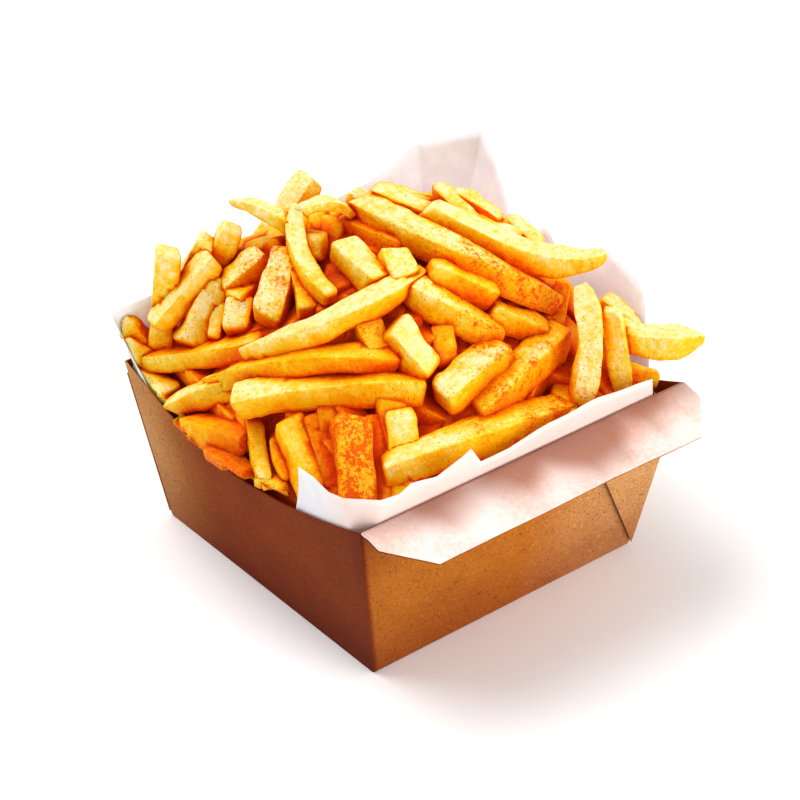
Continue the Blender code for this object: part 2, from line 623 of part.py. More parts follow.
def keep_largest(obj):
    """Drop every loose scrap and fill every sealed hollow, by keeping only the largest shell."""
    bm = bmesh.new()
    bm.from_mesh(obj.data)
    unseen = set(bm.verts)
    shells = []
    while unseen:
        shell, reached = set(), [unseen.pop()]
        while reached:
            vert = reached.pop()
            shell.add(vert)
            near = {link.other_vert(vert) for link in vert.link_edges} & unseen
            unseen -= near
            reached.extend(near)
        shells.append(shell)
    shells.sort(key=len)
    spare = [vert for shell in shells[:-1] for vert in shell]
    bmesh.ops.delete(bm, geom=spare, context="VERTS")
    bm.to_mesh(obj.data)
    bm.free()


def main():
    clear_scene()
    fries_in_carton = collection("fries_in_carton")
    helpers = collection("helpers")
    scrap = collection("loose_fries")
    kraft = material("kraft_card", (0.42, 0.22, 0.09), 0.8)
    glazed = material("glazed_card", (0.84, 0.68, 0.61), 0.55)
    paper = material("greaseproof_paper", (0.86, 0.84, 0.82), 0.5)
    potato = material("fried_potato", (0.86, 0.52, 0.09), 0.5)

    carton = build_carton(fries_in_carton, kraft)
    for number, turned in enumerate((False, True)):
        web = build_web(helpers, f"web_{number}", turned)
        boolean(carton, "UNION", web, "EXACT")
        bpy.data.objects.remove(web)
    build_flap(fries_in_carton, glazed)
    build_liner(fries_in_carton, paper)
    keep_out = build_keep_out(helpers)
    build_heap(fries_in_carton, scrap, potato, keep_out)
    bpy.data.collections.remove(scrap)


main()
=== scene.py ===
"""French fries heaped in a folded kraft card carton: the finish of every surface.

Every size field is in millimetres, and a mesh is turned to metres as its piece is made. The frame is the
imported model's: +Z up, the origin in the middle of the carton's underside, the front wall towards -Y.
"""

import logging
import math
import random
from collections.abc import Sequence
from dataclasses import dataclass
from enum import IntEnum

import bmesh
import bpy
from mathutils import Matrix, Vector, noise
from mathutils.bvhtree import BVHTree


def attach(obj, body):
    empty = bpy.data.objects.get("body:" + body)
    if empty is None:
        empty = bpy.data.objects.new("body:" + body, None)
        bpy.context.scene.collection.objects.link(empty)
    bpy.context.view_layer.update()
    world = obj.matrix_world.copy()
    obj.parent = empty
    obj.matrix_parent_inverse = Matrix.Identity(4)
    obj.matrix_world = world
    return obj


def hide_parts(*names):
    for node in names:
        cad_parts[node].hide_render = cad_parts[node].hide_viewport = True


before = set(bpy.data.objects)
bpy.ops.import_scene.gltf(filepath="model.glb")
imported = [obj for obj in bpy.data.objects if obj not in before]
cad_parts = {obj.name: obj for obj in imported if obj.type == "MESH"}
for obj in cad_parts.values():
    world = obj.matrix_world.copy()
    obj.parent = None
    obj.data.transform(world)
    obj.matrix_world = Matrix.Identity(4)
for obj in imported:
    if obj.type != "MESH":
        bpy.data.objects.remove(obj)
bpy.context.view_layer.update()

MM = 0.001
LOG = logging.getLogger("fries_in_carton")


def linear(hex_colour: str) -> tuple[float, float, float, float]:
    """Turn an sRGB hex colour into a linear one.

    Args:
        hex_colour: Six hex digits.

    Returns:
        Linear red, green and blue, and an alpha of 1.
    """
    channels = [int(hex_colour[place : place + 2], 16) / 255 for place in (0, 2, 4)]
    return (*(c / 12.92 if c <= 0.04045 else ((c + 0.055) / 1.055) ** 2.4 for c in channels), 1.0)


def per_mm(size: float) -> float:
    """The texture scale, in metres of Object coordinates, whose features are this many millimetres."""
    return 1 / (size * MM)


def smoothstep(value: float) -> float:
    """Ease a value from 0 to 1, held at both ends."""
    value = min(max(value, 0.0), 1.0)
    return value * value * (3 - 2 * value)


def connect(tree: bpy.types.NodeTree, node: bpy.types.Node, sockets: dict[str | int, object]) -> None:
    """Set a node's inputs.

    Args:
        tree: The node tree.
        node: The node.
        sockets: Each input's value, or the output that is linked to it.
    """
    for key, value in sockets.items():
        if isinstance(value, bpy.types.NodeSocket):
            tree.links.new(value, node.inputs[key])
        else:
            node.inputs[key].default_value = value


def add(
    tree: bpy.types.NodeTree,
    kind: str,
    sockets: dict[str | int, object] | None = None,
    stops: Sequence[tuple[float, str]] = (),
    **settings: object,
) -> bpy.types.Node:
    """Add a node, set it up and link it.

    Args:
        tree: The node tree.
        kind: The node's type, without the words that all shader nodes start with.
        sockets: Each input's value, or the output that is linked to it.
        stops: For a colour ramp, each stop's place and hex colour.
        settings: The node's own options.

    Returns:
        The new node.
    """
    made = tree.nodes.new("ShaderNode" + kind)
    for name, value in settings.items():
        setattr(made, name, value)
    connect(tree, made, sockets or {})
    if stops:
        elements = made.color_ramp.elements
        while len(elements) < len(stops):
            elements.new(0.5)
        for element, (place, colour) in zip(elements, stops):
            element.position = place
            element.color = linear(colour)
    return made


def new_material(name: str) -> tuple[bpy.types.Material, bpy.types.NodeTree, bpy.types.Node]:
    """Make a material.

    Args:
        name: The finish's name.

    Returns:
        The material, its node tree and its Principled shader.
    """
    made = bpy.data.materials.new(name)
    made.use_nodes = True
    return made, made.node_tree, made.node_tree.nodes["Principled BSDF"]


@dataclass(frozen=True)
class KraftCard:
    """Unbleached kraft board, calendered on one side: long brown fibres, matt, with dark and pale flecks.

    Painted shade tints it darker and more orange at the near left corner and less towards the far right.
    Each stop of the corner shade is a share of that way and the tint there. The left wall, the inner faces
    and the foot are darker with painted shade, and the coating shows where the front wall's edge rolls
    over at the crease.
    """

    name: str = "kraft_card"
    light: str = "CE9F6E"
    middle: str = "C08850"
    dark: str = "9A622E"
    fleck: str = "7C4618"
    pale_fleck: str = "DDB78A"
    # painted shade at the foot of the walls
    foot_shade: str = "B06030"
    # painted shade: darker and more orange towards the near left corner
    corner_shade: tuple[tuple[float, str], ...] = (
        (0.0, "BE8434"), (0.08, "D8AC54"), (0.55, "EBBE5C"), (0.85, "FFFFFF"),
    )  # fmt: skip
    coating: str = "F6E4DA"
    foot_shade_height: float = 30.0
    foot_shade_depth: float = 0.55
    # painted shade on the left wall
    left_wall_shade: str = "BE8C10"
    # painted shade on the inner faces
    inside: str = "9A5434"
    inward: float = 30.0
    flare: float = 0.194
    left_inner: float = -50.4
    left_outer: float = -51.8
    dark_far: float = 58.0
    dark_near: float = 18.0
    corner_shade_start: float = -113.0
    corner_shade_end: float = 11.0
    corner_shade_slant: float = 0.9
    crease_height: float = 59.8
    crease_front: float = -57.5
    cloud: float = 14.0
    cloud_weight: float = 0.22
    fibre_length: float = 1.6
    fibre_width: float = 0.4
    fibre_turns: tuple[float, float] = (0.35, 1.75)
    fibre_weight: float = 0.34
    grain: float = 0.55
    grain_weight: float = 0.3
    fleck_size: float = 0.9
    dark_flecks: tuple[float, float] = (0.68, 0.74)
    pale_flecks: tuple[float, float] = (0.36, 0.28)
    roughness: float = 0.78
    specular: float = 0.12
    relief: float = 0.2

    def make(self) -> bpy.types.Material:
        """Build the material: clouds, fibres in two directions and flecks, then painted shade and the crease.
        """
        made, tree, shader = new_material(self.name)
        coordinates = add(tree, "TexCoord")
        place = coordinates.outputs["Object"]
        clouds = add(tree, "TexNoise", {"Vector": place, "Scale": per_mm(self.cloud), "Detail": 3.0})
        grain = add(tree, "TexNoise", {"Vector": place, "Scale": per_mm(self.grain), "Detail": 2.0})
        layers = [(clouds, self.cloud_weight), (grain, self.grain_weight)]
        drawn_out = (1.0, 1.0, self.fibre_length / self.fibre_width)
        for turn in self.fibre_turns:
            turned = {"Vector": place, "Rotation": (turn, turn, turn), "Scale": drawn_out}
            along = add(tree, "Mapping", turned).outputs[0]
            look = {"Vector": along, "Scale": per_mm(self.fibre_length), "Detail": 4.0, "Roughness": 0.6}
            layers.append((add(tree, "TexNoise", look), self.fibre_weight))
        pulp = 0.0
        for layer, weight in layers:
            sockets = {0: layer.outputs["Fac"], 1: weight, 2: pulp}
            pulp = add(tree, "Math", sockets, operation="MULTIPLY_ADD").outputs[0]
        stops = ((0.44, self.dark), (0.60, self.middle), (0.78, self.light))
        colour = add(tree, "ValToRGB", {"Fac": pulp}, stops=stops).outputs["Color"]
        specks = add(tree, "TexNoise", {"Vector": place, "Scale": per_mm(self.fleck_size), "Detail": 1.0})
        for (least, most), share, tint in (
            (self.dark_flecks, 1.0, self.fleck),
            (self.pale_flecks, 0.5, self.pale_fleck),
        ):
            sockets = {"Value": specks.outputs["Fac"], "From Min": least, "From Max": most, "To Max": share}
            mask = add(tree, "MapRange", sockets).outputs[0]
            colour = add(tree, "Mix", {0: mask, 6: colour, 7: linear(tint)}, data_type="RGBA").outputs[2]
        axes = add(tree, "SeparateXYZ", {"Vector": place}).outputs
        # painted shade: darker towards the foot
        foot_shade_top = self.foot_shade_height * MM
        sockets = {"Value": axes["Z"], "From Min": foot_shade_top, "From Max": 0.0, "To Max": self.foot_shade_depth}
        low = add(tree, "MapRange", sockets, interpolation_type="SMOOTHSTEP")
        # painted shade: darker and more orange towards the near left corner
        sockets = {0: axes["Y"], 1: self.corner_shade_slant, 2: axes["X"]}
        across = add(tree, "Math", sockets, operation="MULTIPLY_ADD").outputs[0]
        start, end = self.corner_shade_start * MM, self.corner_shade_end * MM
        spread = add(tree, "MapRange", {"Value": across, "From Min": start, "From Max": end})
        corner_shade = add(tree, "ValToRGB", {"Fac": spread.outputs[0]}, stops=self.corner_shade)
        # painted shade on the left wall, fading towards the back
        sockets = {0: axes["Z"], 1: self.flare, 2: axes["X"]}
        outward = add(tree, "Math", sockets, operation="MULTIPLY_ADD").outputs[0]
        inner, outer = self.left_inner * MM, self.left_outer * MM
        left_wall = add(tree, "MapRange", {"Value": outward, "From Min": inner, "From Max": outer})
        sockets = {"Value": axes["Y"], "From Min": self.dark_far * MM, "From Max": self.dark_near * MM}
        near_side = add(tree, "MapRange", sockets, interpolation_type="SMOOTHSTEP")
        shaded = add(tree, "Math", {0: left_wall.outputs[0], 1: near_side.outputs[0]}, operation="MULTIPLY")
        # painted shade on the faces turned inwards
        flat = add(tree, "VectorMath", {0: place, 1: (1.0, 1.0, 0.0)}, operation="MULTIPLY")
        sockets = {0: flat.outputs[0], 1: coordinates.outputs["Normal"]}
        facing = add(tree, "VectorMath", sockets, operation="DOT_PRODUCT").outputs["Value"]
        turned_in = add(tree, "Math", {0: facing, 1: -self.inward * MM}, operation="LESS_THAN")
        # multiply in the painted shade: near left corner, left wall, inner faces and foot
        for share, tint in (
            (1.0, corner_shade.outputs["Color"]),
            (shaded.outputs[0], linear(self.left_wall_shade)),
            (turned_in.outputs[0], linear(self.inside)),
            (low.outputs[0], linear(self.foot_shade)),
        ):
            sockets = {0: share, 6: colour, 7: tint}
            colour = add(tree, "Mix", sockets, data_type="RGBA", blend_type="MULTIPLY").outputs[2]
        on_rim = add(tree, "Math", {0: axes["Z"], 1: self.crease_height * MM}, operation="GREATER_THAN")
        in_front = add(tree, "Math", {0: axes["Y"], 1: self.crease_front * MM}, operation="LESS_THAN")
        crease = add(tree, "Math", {0: on_rim.outputs[0], 1: in_front.outputs[0]}, operation="MULTIPLY")
        sockets = {0: crease.outputs[0], 6: colour, 7: linear(self.coating)}
        rolled = add(tree, "Mix", sockets, data_type="RGBA")
        bump = add(tree, "Bump", {"Height": pulp, "Strength": 0.6, "Distance": self.relief * MM})
        connect(tree, shader, {
            "Base Color": rolled.outputs[2], "Normal": bump.outputs[0], "Roughness": self.roughness,
            "Specular IOR Level": self.specular,
        })  # fmt: skip
        return made


@dataclass(frozen=True)
class GlazedCard:
    """The board's clay-coated inner face: pinkish white, lightly glazed, its fibres showing through.

    Painted shadow, with painted orange reflection from the fries, lies along the fold. Each stop of its
    spread is a share of the way across the flap and how strong the painted shadow is there.
    """

    name: str = "glazed_card"
    pale: str = "F6E0D8"
    rose: str = "EABFB0"
    # painted shadow with painted orange reflection from the fries, along the fold
    hinge_shadow: str = "9A5638"
    waves: float = 19.0
    blots: float = 15.0
    half_width: float = 64.0
    along: tuple[tuple[float, float], ...] = (
        (0.0, 0.05), (0.1, 0.3), (0.2, 0.6), (0.31, 0.35), (0.43, 0.78), (0.51, 0.62),
        (0.61, 1.0), (0.7, 0.9), (0.77, 0.45), (0.83, 0.7), (0.91, 0.3), (1.0, 0.2),
    )  # fmt: skip
    display_gamma: float = 2.2
    blot_weight: float = 0.4
    spread_weight: float = 0.9
    hinge_y: float = -59.5
    hinge_shadow_reach: float = 20.0
    pucker: float = 1.3
    relief: float = 0.2
    roughness: float = 0.42

    def make(self) -> bpy.types.Material:
        """Build the material: soft rosy clouds, fine puckers and a painted shadow along the fold."""
        made, tree, shader = new_material(self.name)
        place = add(tree, "TexCoord").outputs["Object"]
        clouds = add(tree, "TexNoise", {"Vector": place, "Scale": per_mm(self.waves), "Detail": 3.0})
        fine = {"Vector": place, "Scale": per_mm(self.pucker), "Detail": 3.0, "Roughness": 0.55}
        pucker = add(tree, "TexNoise", fine).outputs["Fac"]
        rosy = add(tree, "Math", {0: pucker, 1: 0.5, 2: clouds.outputs["Fac"]}, operation="MULTIPLY_ADD")
        stops = ((0.55, self.rose), (0.84, self.pale))
        colour = add(tree, "ValToRGB", {"Fac": rosy.outputs[0]}, stops=stops)
        axes = add(tree, "SeparateXYZ", {"Vector": place}).outputs
        # painted shadow along the fold, ragged and uneven across the flap
        edge, hinge = (self.hinge_y - self.hinge_shadow_reach) * MM, self.hinge_y * MM
        nearness = add(tree, "MapRange", {"Value": axes["Y"], "From Min": edge, "From Max": hinge})
        half = self.half_width * MM
        reach = add(tree, "MapRange", {"Value": axes["X"], "From Min": -half, "From Max": half})
        greys = [
            (where, f"{round(255 * amount ** (1 / self.display_gamma)):02X}" * 3)
            for where, amount in self.along
        ]
        spread = add(tree, "ValToRGB", {"Fac": reach.outputs[0]}, stops=greys).outputs["Color"]
        blots = add(tree, "TexNoise", {"Vector": place, "Scale": per_mm(self.blots), "Detail": 1.0})
        hinge_shadow_strength = nearness.outputs[0]
        for source, weight in ((blots.outputs["Fac"], self.blot_weight), (spread, self.spread_weight)):
            sockets = {0: source, 1: weight, 2: hinge_shadow_strength}
            hinge_shadow_strength = add(tree, "Math", sockets, operation="MULTIPLY_ADD").outputs[0]
        sockets = {"Value": hinge_shadow_strength, "From Min": 0.95, "From Max": 1.8, "To Max": 0.9}
        mask = add(tree, "MapRange", sockets, interpolation_type="SMOOTHSTEP")
        sockets = {0: mask.outputs[0], 6: colour.outputs["Color"], 7: linear(self.hinge_shadow)}
        hinge_shaded = add(tree, "Mix", sockets, data_type="RGBA")
        bump = add(tree, "Bump", {"Height": pucker, "Strength": 0.8, "Distance": self.relief * MM})
        connect(tree, shader, {
            "Base Color": hinge_shaded.outputs[2], "Normal": bump.outputs[0], "Roughness": self.roughness,
        })  # fmt: skip
        return made


@dataclass(frozen=True)
class GreaseproofPaper:
    """Supercalendered greaseproof paper: thin, white, faintly cloudy against the light, with a soft sheen."""

    name: str = "greaseproof_paper"
    white: str = "EEF1F5"
    cloud_colour: str = "E2E5EA"
    # painted warm light reflected onto the paper towards the front
    rosy: str = "F8D8CB"
    warm_bounce_start: float = -38.0
    warm_bounce_end: float = -52.0
    warm_bounce_tint: float = 0.8
    cloud: float = 9.0
    crinkle: float = 5.0
    relief: float = 0.25
    glow: float = 0.35
    glow_depth: float = 0.6
    roughness: float = 0.5

    def make(self) -> bpy.types.Material:
        """Build the material: cloudy pulp, a painted rosy tint of reflected warm light towards the front,
        soft crinkles and a little light through the sheet.
        """
        made, tree, shader = new_material(self.name)
        place = add(tree, "TexCoord").outputs["Object"]
        cloudy = {"Vector": place, "Scale": per_mm(self.cloud), "Detail": 5.0, "Roughness": 0.65}
        pulp = add(tree, "TexNoise", cloudy)
        stops = ((0.38, self.cloud_colour), (0.62, self.white))
        colour = add(tree, "ValToRGB", {"Fac": pulp.outputs["Fac"]}, stops=stops)
        axes = add(tree, "SeparateXYZ", {"Vector": place}).outputs
        # painted warm reflected light, strongest towards the front
        start, end = self.warm_bounce_start * MM, self.warm_bounce_end * MM
        sockets = {"Value": axes["Y"], "From Min": start, "From Max": end, "To Max": self.warm_bounce_tint}
        in_warm_bounce = add(tree, "MapRange", sockets)
        sockets = {0: in_warm_bounce.outputs[0], 6: colour.outputs["Color"], 7: linear(self.rosy)}
        bounce_tinted = add(tree, "Mix", sockets, data_type="RGBA")
        soft = {"Vector": place, "Scale": per_mm(self.crinkle), "Detail": 2.0, "Distortion": 1.2}
        crinkle = add(tree, "TexNoise", soft).outputs["Fac"]
        bump = add(tree, "Bump", {"Height": crinkle, "Strength": 0.5, "Distance": self.relief * MM})
        connect(tree, shader, {
            "Base Color": bounce_tinted.outputs[2], "Normal": bump.outputs[0], "Roughness": self.roughness,
            "Subsurface Weight": self.glow, "Subsurface Radius": (1.0, 0.9, 0.8),
            "Subsurface Scale": self.glow_depth * MM,
        })  # fmt: skip
        return made


@dataclass(frozen=True)
class FriedPotato:
    """Deep-fried potato: a thin crisp crust over pale flesh, filmed with oil and dusted with paprika."""

    name: str = "fried_potato"
    cream: str = "FFECB0"
    straw: str = "FFD440"
    gold: str = "FFB800"
    amber: str = "FC9200"
    orange: str = "F66400"
    ember: str = "DA4200"
    dust_orange: str = "FFA400"
    dust_red: str = "E64A00"
    speck: str = "AE3402"
    blister: float = 2.1
    crumb: float = 0.5
    patch: float = 5.5
    flour: float = 1.1
    dust: float = 1.2
    speck_spacing: float = 0.8
    patch_weight: float = 0.22
    blister_weight: float = 0.34
    flour_weight: float = 0.36
    mean_mottle: float = 0.25
    roughness: float = 0.42
    dry: float = 0.14
    oily: float = -0.1
    specular: float = 0.06
    relief: float = 0.85
    glow: float = 0.3
    glow_depth: float = 2.2

    def make(self) -> bpy.types.Material:
        """Build the material: crust colour by its tone, painted light and painted shade, paprika dust and
        specks, blisters in relief.
        """
        made, tree, shader = new_material(self.name)
        place = add(tree, "TexCoord").outputs["Object"]
        shade = add(tree, "Attribute", attribute_name="shade").outputs["Fac"]
        spice = add(tree, "Attribute", attribute_name="spice").outputs["Fac"]
        noises = []
        for size, detail, rough in (
            (self.patch, 3.0, 0.6),
            (self.blister, 3.0, 0.6),
            (self.flour, 4.0, 0.7),
            (self.dust, 4.0, 0.75),
            (self.crumb, 2.0, 0.5),
        ):
            sockets = {"Vector": place, "Scale": per_mm(size), "Detail": detail, "Roughness": rough}
            noises.append(add(tree, "TexNoise", sockets).outputs["Fac"])
        patches, blisters, flour, dust, crumbs = noises
        mottled = shade
        for source, weight in (
            (patches, self.patch_weight),
            (blisters, self.blister_weight),
            (flour, self.flour_weight),
        ):
            sockets = {0: source, 1: weight, 2: mottled}
            mottled = add(tree, "Math", sockets, operation="MULTIPLY_ADD").outputs[0]
        even = add(tree, "Math", {0: mottled, 1: self.mean_mottle}, operation="SUBTRACT")
        # the ramp from cream to ember carries painted light on open tops and painted shade in the gaps
        stops = (
            (0.16, self.cream), (0.29, self.straw), (0.43, self.gold),
            (0.60, self.amber), (0.78, self.orange), (1.0, self.ember),
        )  # fmt: skip
        crust = add(tree, "ValToRGB", {"Fac": even.outputs[0]}, stops=stops)
        drift = add(tree, "Math", {0: patches, 1: 1.5, 2: -0.75}, operation="MULTIPLY_ADD")
        sown = add(tree, "Math", {0: spice, 1: drift.outputs[0]}, operation="ADD").outputs[0]
        dusty = add(tree, "Math", {0: sown, 1: 0.42, 2: dust}, operation="MULTIPLY_ADD").outputs[0]
        sockets = {"Value": dusty, "From Min": 0.76, "From Max": 0.96, "To Max": 0.9}
        dust_mask = add(tree, "MapRange", sockets).outputs[0]
        stops = ((0.45, self.dust_orange), (0.9, self.dust_red))
        dust_colour = add(tree, "ValToRGB", {"Fac": dust_mask}, stops=stops)
        sockets = {0: dust_mask, 6: crust.outputs["Color"], 7: dust_colour.outputs["Color"]}
        dusted = add(tree, "Mix", sockets, data_type="RGBA").outputs[2]
        spacing = {"Vector": place, "Scale": per_mm(self.speck_spacing), "Randomness": 1.0}
        cells = add(tree, "TexVoronoi", spacing)
        chance = add(tree, "SeparateColor", {"Color": cells.outputs["Color"]}).outputs
        share = add(tree, "Math", {0: sown, 1: 0.55, 2: 0.05}, operation="MULTIPLY_ADD").outputs[0]
        wanted = add(tree, "Math", {0: chance[0], 1: share}, operation="LESS_THAN").outputs[0]
        radius = add(tree, "Math", {0: chance[1], 1: 0.2, 2: 0.05}, operation="MULTIPLY_ADD").outputs[0]
        inside = add(tree, "Math", {0: cells.outputs["Distance"], 1: radius}, operation="LESS_THAN")
        speck_mask = add(tree, "Math", {0: wanted, 1: inside.outputs[0]}, operation="MULTIPLY").outputs[0]
        specked = add(tree, "Mix", {0: speck_mask, 6: dusted, 7: linear(self.speck)}, data_type="RGBA")
        height = blisters
        for source, weight in ((crumbs, 0.3), (flour, 0.5)):
            sockets = {0: source, 1: weight, 2: height}
            height = add(tree, "Math", sockets, operation="MULTIPLY_ADD").outputs[0]
        bump = add(tree, "Bump", {"Height": height, "Strength": 1.0, "Distance": self.relief * MM})
        film = add(tree, "MapRange", {
            "Value": patches, "From Min": 0.35, "From Max": 0.65,
            "To Min": self.roughness + self.oily, "To Max": self.roughness + self.dry,
        })  # fmt: skip
        connect(tree, shader, {
            "Base Color": specked.outputs[2], "Normal": bump.outputs[0], "Roughness": film.outputs[0],
            "Specular IOR Level": self.specular, "Subsurface Weight": self.glow,
            "Subsurface Radius": (1.0, 0.5, 0.14), "Subsurface Scale": self.glow_depth * MM,
        })  # fmt: skip
        return made


@dataclass(frozen=True)
class Paprika:
    """Ground smoked paprika: dull red-brown flakes of dried pepper."""

    name: str = "ground_paprika"
    red: str = "EA6408"
    brown: str = "C2480A"
    mottle: float = 1.4
    roughness: float = 0.7

    def make(self) -> bpy.types.Material:
        """Build the material: each flake somewhere between red and brown."""
        made, tree, shader = new_material(self.name)
        place = add(tree, "TexCoord").outputs["Object"]
        flakes = add(tree, "TexNoise", {"Vector": place, "Scale": per_mm(self.mottle), "Detail": 1.0})
        stops = ((0.38, self.brown), (0.56, self.red))
        colour = add(tree, "ValToRGB", {"Fac": flakes.outputs["Fac"]}, stops=stops)
        connect(tree, shader, {"Base Color": colour.outputs["Color"], "Roughness": self.roughness})
        return made


@dataclass(frozen=True)
class View:
    """The photograph's viewpoint. A fry that it shows is placed on the sight line through its pixel."""

    azimuth: float = -40.644
    elevation: float = 33.207
    roll: float = 1.474
    target: tuple[float, float, float] = (48.6, 57.8, 0.0)
    distance: float = 894.6
    focal_pixels: float = 2600.0
    image_pixels: float = 800.0
    sensor: float = 36.0

    def axes(self) -> tuple[Vector, Vector, Vector]:
        """The unit vectors to the camera's right, up, and back from what it looks at."""
        azimuth, elevation = math.radians(self.azimuth), math.radians(self.elevation)
        level = Vector((math.sin(azimuth), -math.cos(azimuth), 0)) * math.cos(elevation)
        back = level + Vector((0, 0, math.sin(elevation)))
        right = Vector((math.cos(azimuth), math.sin(azimuth), 0))
        turn = Matrix.Rotation(math.radians(self.roll), 3, back)
        return turn @ right, turn @ back.cross(right), back

    def eye(self) -> Vector:
        """Where the camera stands, in millimetres."""
        return Vector(self.target) + self.axes()[2] * self.distance

    def at_height(self, u: float, v: float, z: float) -> Vector:
        """Where the sight line through pixel (u, v) is z high."""
        right, up, back = self.axes()
        middle = self.image_pixels / 2
        line = right * (u - middle) - up * (v - middle) - back * self.focal_pixels
        eye = self.eye()
        return eye + line * ((z - eye.z) / line.z)

    def make_camera(self) -> bpy.types.Object:
        """Set up the scene's camera."""
        data = bpy.data.cameras.new("camera")
        data.sensor_width = self.sensor
        data.lens = self.focal_pixels / self.image_pixels * self.sensor
        data.clip_start = 0.01
        camera = bpy.data.objects.new("camera", data)
        right, up, back = self.axes()
        turn = Matrix((right, up, back)).transposed().to_4x4()
        camera.matrix_world = Matrix.Translation(self.eye() * MM) @ turn
        bpy.context.scene.collection.objects.link(camera)
        bpy.context.scene.camera = camera
        return camera


def make_piece(bm: bmesh.types.BMesh, name: str, materials: list[bpy.types.Material]) -> bpy.types.Object:
    """Turn a bmesh in millimetres into a finished piece, its mesh in metres and its object at the origin.

    Args:
        bm: The shape, which is freed.
        name: The piece's name.
        materials: What its faces' material numbers mean.

    Returns:
        The piece, in the scene.
    """
    bmesh.ops.scale(bm, vec=(MM, MM, MM), verts=bm.verts)
    mesh = bpy.data.meshes.new(name)
    bm.to_mesh(mesh)
    bm.free()
    for material in materials:
        mesh.materials.append(material)
    piece = bpy.data.objects.new(name, mesh)
    bpy.context.scene.collection.objects.link(piece)
    LOG.info("%s: %d faces", name, len(mesh.polygons))
    return piece


class Wall(IntEnum):
    """The carton's walls, in their order round it."""

    FRONT = 0
    RIGHT = 1
    BACK = 2
    LEFT = 3


